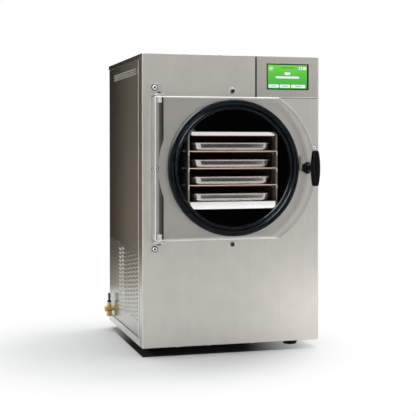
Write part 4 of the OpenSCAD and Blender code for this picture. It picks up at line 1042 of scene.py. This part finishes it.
def screw_shells(x, z, y, diameter, height, washer, recess):
    """Button-head screw on a washer, seated at y: a dome of radius r cos t whose height goes up with
    sin t, and a six-sided recess whose radius is a / cos(t mod 60 degrees - 30 degrees)."""
    r = diameter / 2

    def six_sided(t, profile):
        flat = 1.0 / np.cos(np.mod(t, np.pi / 3) - np.pi / 6)
        share = (profile[:, :1] < recess * 1.25).astype(float)
        return 1.0 + share * (flat * 0.9 - 1.0)

    t = np.radians(np.linspace(0, 48, 6))
    brim = washer + 0.0008
    dome = np.column_stack([r * np.cos(t), brim + (height - brim) * np.sin(t) / np.sin(t[-1])])
    dome[-1, 0] = recess * 1.35
    floor = max(height - 0.0022, washer + 0.0006)
    head = np.vstack([[(r, washer)], dome, [(recess, height - 0.0002), (recess * 0.96, floor),
                                            (0.0002, floor - 0.0002)]])
    in_recess = np.repeat(np.arange(len(head) - 1) >= len(dome) + 1, 48).astype(int)
    shells = [tube_shell(turned(head * [1, -1], (x, y, z), "-Y", 48, six_sided), in_recess)]
    if washer:
        w, hole = r + 0.0019, r * 0.6
        ring = np.array([(hole, 0.0), (w, 0.0), (w, washer * 0.7), (w - 0.0004, washer), (hole, washer)])
        shells.append(ring_shell(turned(ring * [1, -1], (x, y, z), "-Y", 48), 2))
    return shells


def bar_edge(side):
    """Sloping edge of the hinge bar above (1) or below (-1) the axis; its right border follows the
    round relief, x = -sqrt(R^2 - z^2), where that lies left of the bar's own edge."""
    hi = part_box("hinge_bar")[1]
    relief_r, left = 0.177, hi.x - 0.0115
    low = math.sqrt(relief_r ** 2 - (AXIS_X - left - 0.0008) ** 2)
    z = np.linspace(low, 0.1585, 26)
    right = np.minimum(hi.x, AXIS_X - np.sqrt(relief_r ** 2 - np.minimum(z, relief_r) ** 2))
    right = np.maximum(right, left + 0.0006)
    x = np.stack([np.full_like(z, left), np.full_like(z, left + 0.0003), right, right], -1)
    y = BAR_Y - np.array([0.0, 0.0003, 0.0002, 0.0])
    return tube_shell(grid_points(x, y, AXIS_Z + side * z[:, None]))


class DRYER_OT_hinge(bpy.types.Operator):
    """Finishes the hinge bar, pins and bushes, and turns the screws with their washers"""

    bl_idname = "dryer.hinge"
    bl_label = "Hinge and Screws"

    def execute(self, context):
        bar = brushed_steel("hinge_bar_steel", (0.64, 0.61, 0.58), 0.34, 0.46, "Z", 0.0008, 80.0)
        # the sloping edge runs from light to near black across its width: painted shade on the bar's right
        # side
        bar_painted_shade = plain("bar_edge_painted_shade", (0.10, 0.08, 0.065), metallic=0.6, roughness=0.45)
        edge_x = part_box("hinge_bar")[1].x
        fade = pattern(bar_painted_shade, "FADE", 1.0, turn=(0, math.radians(-90), 0))
        across = spread(bar_painted_shade, fade, 0.0, 1.0, edge_x - 0.0115, edge_x)
        feed(bar_painted_shade, "Base Color", ramp(bar_painted_shade, across, [
            (0.0, (0.34, 0.31, 0.285)), (0.4, (0.15, 0.125, 0.105)), (1.0, (0.03, 0.022, 0.017))]))
        dress(bar, "hinge_bar")
        dress(turned_metal("black_pin_steel", (0.10, 0.10, 0.105), 0.25, 0.4, "Z"), "hinge_pins")
        # white bushes with a painted glow
        dress(painted("white_bush_plastic_painted_glow", (0.93, 0.93, 0.92), 0.35, 0.00004, 0.0005,
                      Emission_Color=(1.0, 1.0, 1.0, 1.0), Emission_Strength=0.22), "hinge_bushes")
        steel = turned_metal("screw_steel", (0.93, 0.93, 0.93), 0.22, 0.36)
        blued = turned_metal("blued_washer_steel", (0.045, 0.06, 0.10), 0.3, 0.45)
        # near-black recess floors: painted shade in the screws' recesses
        dark = painted("recess_painted_shade", (0.010, 0.007, 0.005), 0.6, 0.00004, 0.0, Specular_IOR_Level=0.1)
        grey = turned_metal("dull_screw_steel", (0.17, 0.165, 0.16), 0.3, 0.45)

        def heads(name, node, places, seat, wide, short, washer, recess, finishes):
            """Heads in a node's place: places are shares of half the screws' span, short is how far
            a head ends before the node's front."""
            lo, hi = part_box(node)
            x, half = (lo.x + hi.x) / 2, (hi.z - lo.z) / 2 - (hi.x - lo.x) / 2
            shells = []
            for k in places:
                shells += screw_shells(x, AXIS_Z + k * half, seat, wide, seat - lo.y - short, washer, recess)
            make_piece(name, shells, "cabinet", finishes, replaces=[node])

        heads("hinge_screw_heads", "hinge_screws", (-1, 0, 1), BAR_Y, 0.0106, 0.0001, 0.0012, 0.0027,
              [steel, dark, blued])
        make_piece("bar_edges", [bar_edge(1), bar_edge(-1)], "cabinet", [bar_painted_shade])
        heads("chamber_screw_heads", "chamber_screws", (-1, 1), FRONT_Y, 0.0118, 0.0, 0.0010, 0.0030,
              [grey, dark, steel])
        heads("strike_screw_heads", "strike_screws", (-1, 1), STRIKE_Y, 0.007, 0.0, 0.0, 0.0016,
              [steel, dark])
        return {"FINISHED"}


class DRYER_OT_latch(bpy.types.Operator):
    """Moulds the barrel grip and the lobed collar, and finishes the shaft, cam and strike"""

    bl_idname = "dryer.latch"
    bl_label = "Latch"

    def execute(self, context):
        finish, cut = context.scene.dryer_finish, context.scene.dryer_grip
        black = painted("black_grip_plastic", finish.black, 0.36, 0.00006, 0.0, Specular_IOR_Level=0.1)
        half_l, half_w = (GRIP_HI.z - GRIP_LO.z) / 2, (GRIP_HI.x - GRIP_LO.x) / 2
        centre_y = GRIP_LO.y + half_w
        # barrel: half width w(s) = end + (mid - end)(1 - s^2), its last 3 mm rounded over
        tip = np.array([0.965, 0.985, 0.995, 1.0])
        s = np.concatenate([-tip[::-1], np.linspace(-0.94, 0.94, 33), tip])
        width = half_w * (cut.end_share + (1 - cut.end_share) * (1 - s ** 2) ** 0.9)
        turn_over = np.clip((1 - np.abs(s)) * half_l / 0.003, 0, 1)
        width = width * (0.55 + 0.45 * np.sqrt(1 - (1 - turn_over) ** 2))
        t = np.linspace(0, 2 * np.pi, 40, endpoint=False)
        a, b = (np.sign(v) * np.abs(v) ** (2.0 / cut.squareness) for v in (np.cos(t), np.sin(t)))
        barrel = lay(width[:, None] * a, width[:, None] * b, (s * half_l)[:, None],
                     (LATCH_X, centre_y, AXIS_Z), "Z")
        neck = np.array([(0.0085, GRIP_HI.y), (0.0095, GRIP_HI.y - 0.001), (0.0088, GRIP_HI.y - 0.006),
                         (0.0076, centre_y + 0.012), (0.0082, centre_y + 0.006), (0.0082, centre_y)])
        neck_shell = tube_shell(turned(neck, (LATCH_X, 0, AXIS_Z), "Y", 40))
        make_piece("barrel_grip", [tube_shell(barrel), neck_shell], "latch", [black], 40,
                   replaces=["handle_grip"])

        lo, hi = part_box("handle_bush")
        r = (hi.x - lo.x) / 2 + 0.0018

        def lobed(t, profile):
            outer = (profile[:, :1] > r * 0.75).astype(float)
            return 1.0 - outer * cut.lobe_depth / r * (0.5 - 0.5 * np.cos(cut.lobes * t))

        front, bore = DOOR_LO.y, 0.0061
        collar = np.array([(bore, hi.y), (0.008, hi.y), (0.008, front), (r - 0.0006, front),
                           (r, front - 0.0007), (r, front - 0.0050), (r - 0.0009, front - 0.0064),
                           (r * 0.82, front - 0.0074), (r * 0.70, front - 0.0076),
                           (r * 0.68, lo.y + 0.0004), (r * 0.62, lo.y), (bore, lo.y)])
        inside = np.repeat(np.isin(np.arange(len(collar)), (0, 1, 11)).astype(int), 72)
        shell = ring_shell(turned(collar, (LATCH_X, 0, AXIS_Z), "Y", 72, lobed), inside)
        sleeve = painted("sleeve_nylon", (0.62, 0.61, 0.59), 0.5, 0.00003, 0.0)
        make_piece("lobed_collar", [shell], "door", [black, sleeve], replaces=["handle_bush"])
        dress(dull_steel("latch_steel", (0.72, 0.70, 0.66), 0.35, 0.4, 0.08, {"scale": 420.0, "Detail": 4.0},
                         3200.0, (0.05, 1, 0.05), 0.00002), "latch_shaft")
        dress(brushed_steel("strike_steel", (0.90, 0.89, 0.86), 0.2, 0.34, "Z", 0.0006, 60.0), "latch_strike")
        return {"FINISHED"}


# ---------------------------------------------------------------- screen
class DRYER_OT_screen(bpy.types.Operator):
    """Lights the screen: a green picture with plain tiles, a ring mark and three buttons"""

    bl_idname = "dryer.screen"
    bl_label = "Screen"

    def execute(self, context):
        cut = context.scene.dryer_screen
        black = context.scene.dryer_finish.black
        rim = painted("screen_frame_plastic", black, 0.3, 0.00003, 0.0005, Specular_IOR_Level=0.15)
        dress(rim, "screen_frame")
        lo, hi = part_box("screen_glass")
        green = plain("screen_picture", cut.top, roughness=0.12, Emission_Strength=cut.glow)
        height = spread(green, pattern(green, "FADE", 1.0), 0.0, 1.0, lo.z, hi.z)
        middle = 0.5 * np.add(cut.low, cut.top)
        feed(green, "Emission Color", ramp(green, height, [(0.0, cut.low), (0.55, middle), (1.0, cut.top)]))
        dots = [(0.0, (0.004, 0.02, 0.004)), (0.5, (0.008, 0.04, 0.008))]
        feed(green, "Base Color", ramp(green, pattern(green, "CELLS", scale=2400.0), dots))
        dress(green, "screen_glass")

        w, h, y = hi.x - lo.x, hi.z - lo.z, lo.y

        def lit(name, tint):
            """Finish of a tile that shines in its own tint."""
            made = plain(name, (0.01, 0.01, 0.01), roughness=0.2, Emission_Strength=1.0)
            dots = [(0.0, 0.93 * np.array(tint)), (0.6, tint)]
            feed(made, "Emission Color", ramp(made, pattern(made, "CELLS", scale=2400.0), dots))
            return made

        def tile(u, v, du, dv, corner, finish=0, lift=0.00018):
            """Flat tile at shares u, v of the picture from its lower left, du by dv in size."""
            return pad_shell((lo.x + (u - du / 2) * w, y - lift, lo.z + (v - dv / 2) * h),
                             (lo.x + (u + du / 2) * w, y + 0.0001, lo.z + (v + dv / 2) * h),
                             corner, 0.00005, "-Y", finish)

        finishes = [lit("picture_white", (0.86, 0.88, 0.90)), lit("picture_blue_grey", (0.30, 0.36, 0.52)),
                    lit("picture_green_grey", (0.10, 0.30, 0.09)), lit("picture_violet", (0.33, 0.22, 0.62))]
        # three buttons with their marks, then the line, the two small tiles, the bar and the round tile
        across = ((0.15, 0.255, 0.13), (0.435, 0.265, 0.15), (0.775, 0.36, 0.16))
        shells = [tile(u, 0.105, wide, 0.135, 0.0018) for u, wide, mark in across]
        shells += [tile(u, 0.105, mark, 0.035, 0.0006, 1, 0.00026) for u, wide, mark in across]
        shells += [tile(0.505, 0.885, 0.33, 0.05, 0.0008, 2), tile(0.83, 0.865, 0.085, 0.12, 0.0015),
                   tile(0.935, 0.865, 0.085, 0.12, 0.0015),
                   tile(0.83, 0.865, 0.045, 0.065, 0.0014, 3, 0.00026),
                   tile(0.50, 0.475, 0.60, 0.085, 0.0020), tile(0.50, 0.635, 0.15, 0.115, 0.0029)]
        ring = np.array([(0.0044, 0.0), (0.0050, 0.0), (0.0050, -0.00018), (0.0044, -0.00018)])
        centre = (lo.x + 0.085 * w, y, lo.z + 0.845 * h)
        shells.append(ring_shell(turned(ring, centre, "-Y", 40)))
        shells += [tile(0.085 + d, 0.845 + d * 0.6, 0.018, 0.085, 0.0006) for d in (-0.022, 0.0, 0.022)]
        make_piece("screen_marks", shells, "cabinet", finishes)
        board = painted("board_green", (0.02, 0.11, 0.045), 0.35, 0.00006, 0.0)
        dress(board, "display_board", "control_board")
        return {"FINISHED"}


# ---------------------------------------------------------------- fittings and inner set
class DRYER_OT_fittings(bpy.types.Operator):
    """Finishes the drain valve, the vacuum port, the power inlet and the drain pipe"""

    bl_idname = "dryer.fittings"
    bl_label = "Fittings"

    def execute(self, context):
        black = context.scene.dryer_finish.black
        dress(turned_metal("valve_brass", (0.66, 0.43, 0.17), 0.22, 0.4, "X"), "valve_body")
        dress(turned_metal("valve_nut_steel", (0.66, 0.64, 0.60), 0.2, 0.34, "Z"), "valve_nut")
        dress(painted("valve_lever_paint", (0.014, 0.013, 0.013), 0.4, 0.00006, 0.0006), "valve_lever")
        dress(painted("drain_hose", (0.62, 0.62, 0.60), 0.4, 0.00004, 0.0), "drain_tube")
        dress(painted("black_port_fitting", black, 0.38, 0.00005, 0.0005), "vacuum_port")
        dress(painted("inlet_moulding", black, 0.45, 0.00006, 0.0005), "power_inlet", "power_switch")
        return {"FINISHED"}


class DRYER_OT_inside(bpy.types.Operator):
    """Finishes the refrigeration set and the electronics deck"""

    bl_idname = "dryer.inside"
    bl_label = "Inner Set"

    def execute(self, context):
        enamel = painted("compressor_enamel", (0.012, 0.012, 0.013), 0.25, 0.0001, 0.0, Coat_Weight=0.5)
        dress(enamel, "compressor")
        fins = brushed_steel("condenser_fins", (0.72, 0.72, 0.73), 0.3, 0.45, "Z", 0.0, 30.0)
        dress(fins, "condenser_coil")
        dress(painted("fan_plastic", (0.015, 0.015, 0.016), 0.5), "fan_blades", "fan_motor")
        dress(zinc_sheet("zinc_deck_sheet", (0.55, 0.56, 0.56)), "fan_shroud", "electronics_tray")
        return {"FINISHED"}


class DRYER_PT_panel(bpy.types.Panel):
    """Sizes, colours and steps of the freeze dryer"""

    bl_label = "Freeze Dryer"
    bl_idname = "DRYER_PT_panel"
    bl_space_type = "VIEW_3D"
    bl_region_type = "UI"
    bl_category = "Freeze Dryer"

    def draw(self, context):
        for group, _, title, steps in SECTIONS:
            box = self.layout.box()
            box.label(text=title)
            settings = getattr(context.scene, group)
            for name in settings.__annotations__:
                box.prop(settings, name)
            for step in steps:
                box.operator(step)


SECTIONS = (
    ("dryer_finish", DryerFinish, "Finishes",
     ("dryer.cabinet", "dryer.feet", "dryer.fittings", "dryer.inside")),
    ("dryer_door", DryerDoor, "Door", ("dryer.door", "dryer.hinge")),
    ("dryer_seal", DryerSeal, "Chamber", ("dryer.chamber", "dryer.rack")),
    ("dryer_grip", DryerGrip, "Latch", ("dryer.latch",)),
    ("dryer_trays", DryerTrays, "Trays", ("dryer.trays",)),
    ("dryer_screen", DryerScreen, "Screen", ("dryer.screen",)),
    ("dryer_stage", DryerStage, "Stage", ("dryer.stage",)),
)
GROUPS = {name: group for name, group, *_ in SECTIONS}
CLASSES = (*GROUPS.values(), DRYER_OT_stage, DRYER_OT_cabinet, DRYER_OT_feet, DRYER_OT_chamber,
           DRYER_OT_rack, DRYER_OT_trays, DRYER_OT_door, DRYER_OT_hinge, DRYER_OT_latch,
           DRYER_OT_screen, DRYER_OT_fittings, DRYER_OT_inside, DRYER_PT_panel)


def register():
    for made in CLASSES:
        bpy.utils.register_class(made)
    for name, group in GROUPS.items():
        setattr(bpy.types.Scene, name, PointerProperty(type=group))


def unregister():
    for name in GROUPS:
        delattr(bpy.types.Scene, name)
    for made in reversed(CLASSES):
        bpy.utils.unregister_class(made)


def main():
    register()
    for step in (bpy.ops.dryer.stage, bpy.ops.dryer.cabinet, bpy.ops.dryer.feet, bpy.ops.dryer.chamber,
                 bpy.ops.dryer.rack, bpy.ops.dryer.trays, bpy.ops.dryer.door, bpy.ops.dryer.hinge,
                 bpy.ops.dryer.latch, bpy.ops.dryer.screen, bpy.ops.dryer.fittings, bpy.ops.dryer.inside):
        step()
    bpy.context.view_layer.update()


if __name__ == "__main__":
    main()
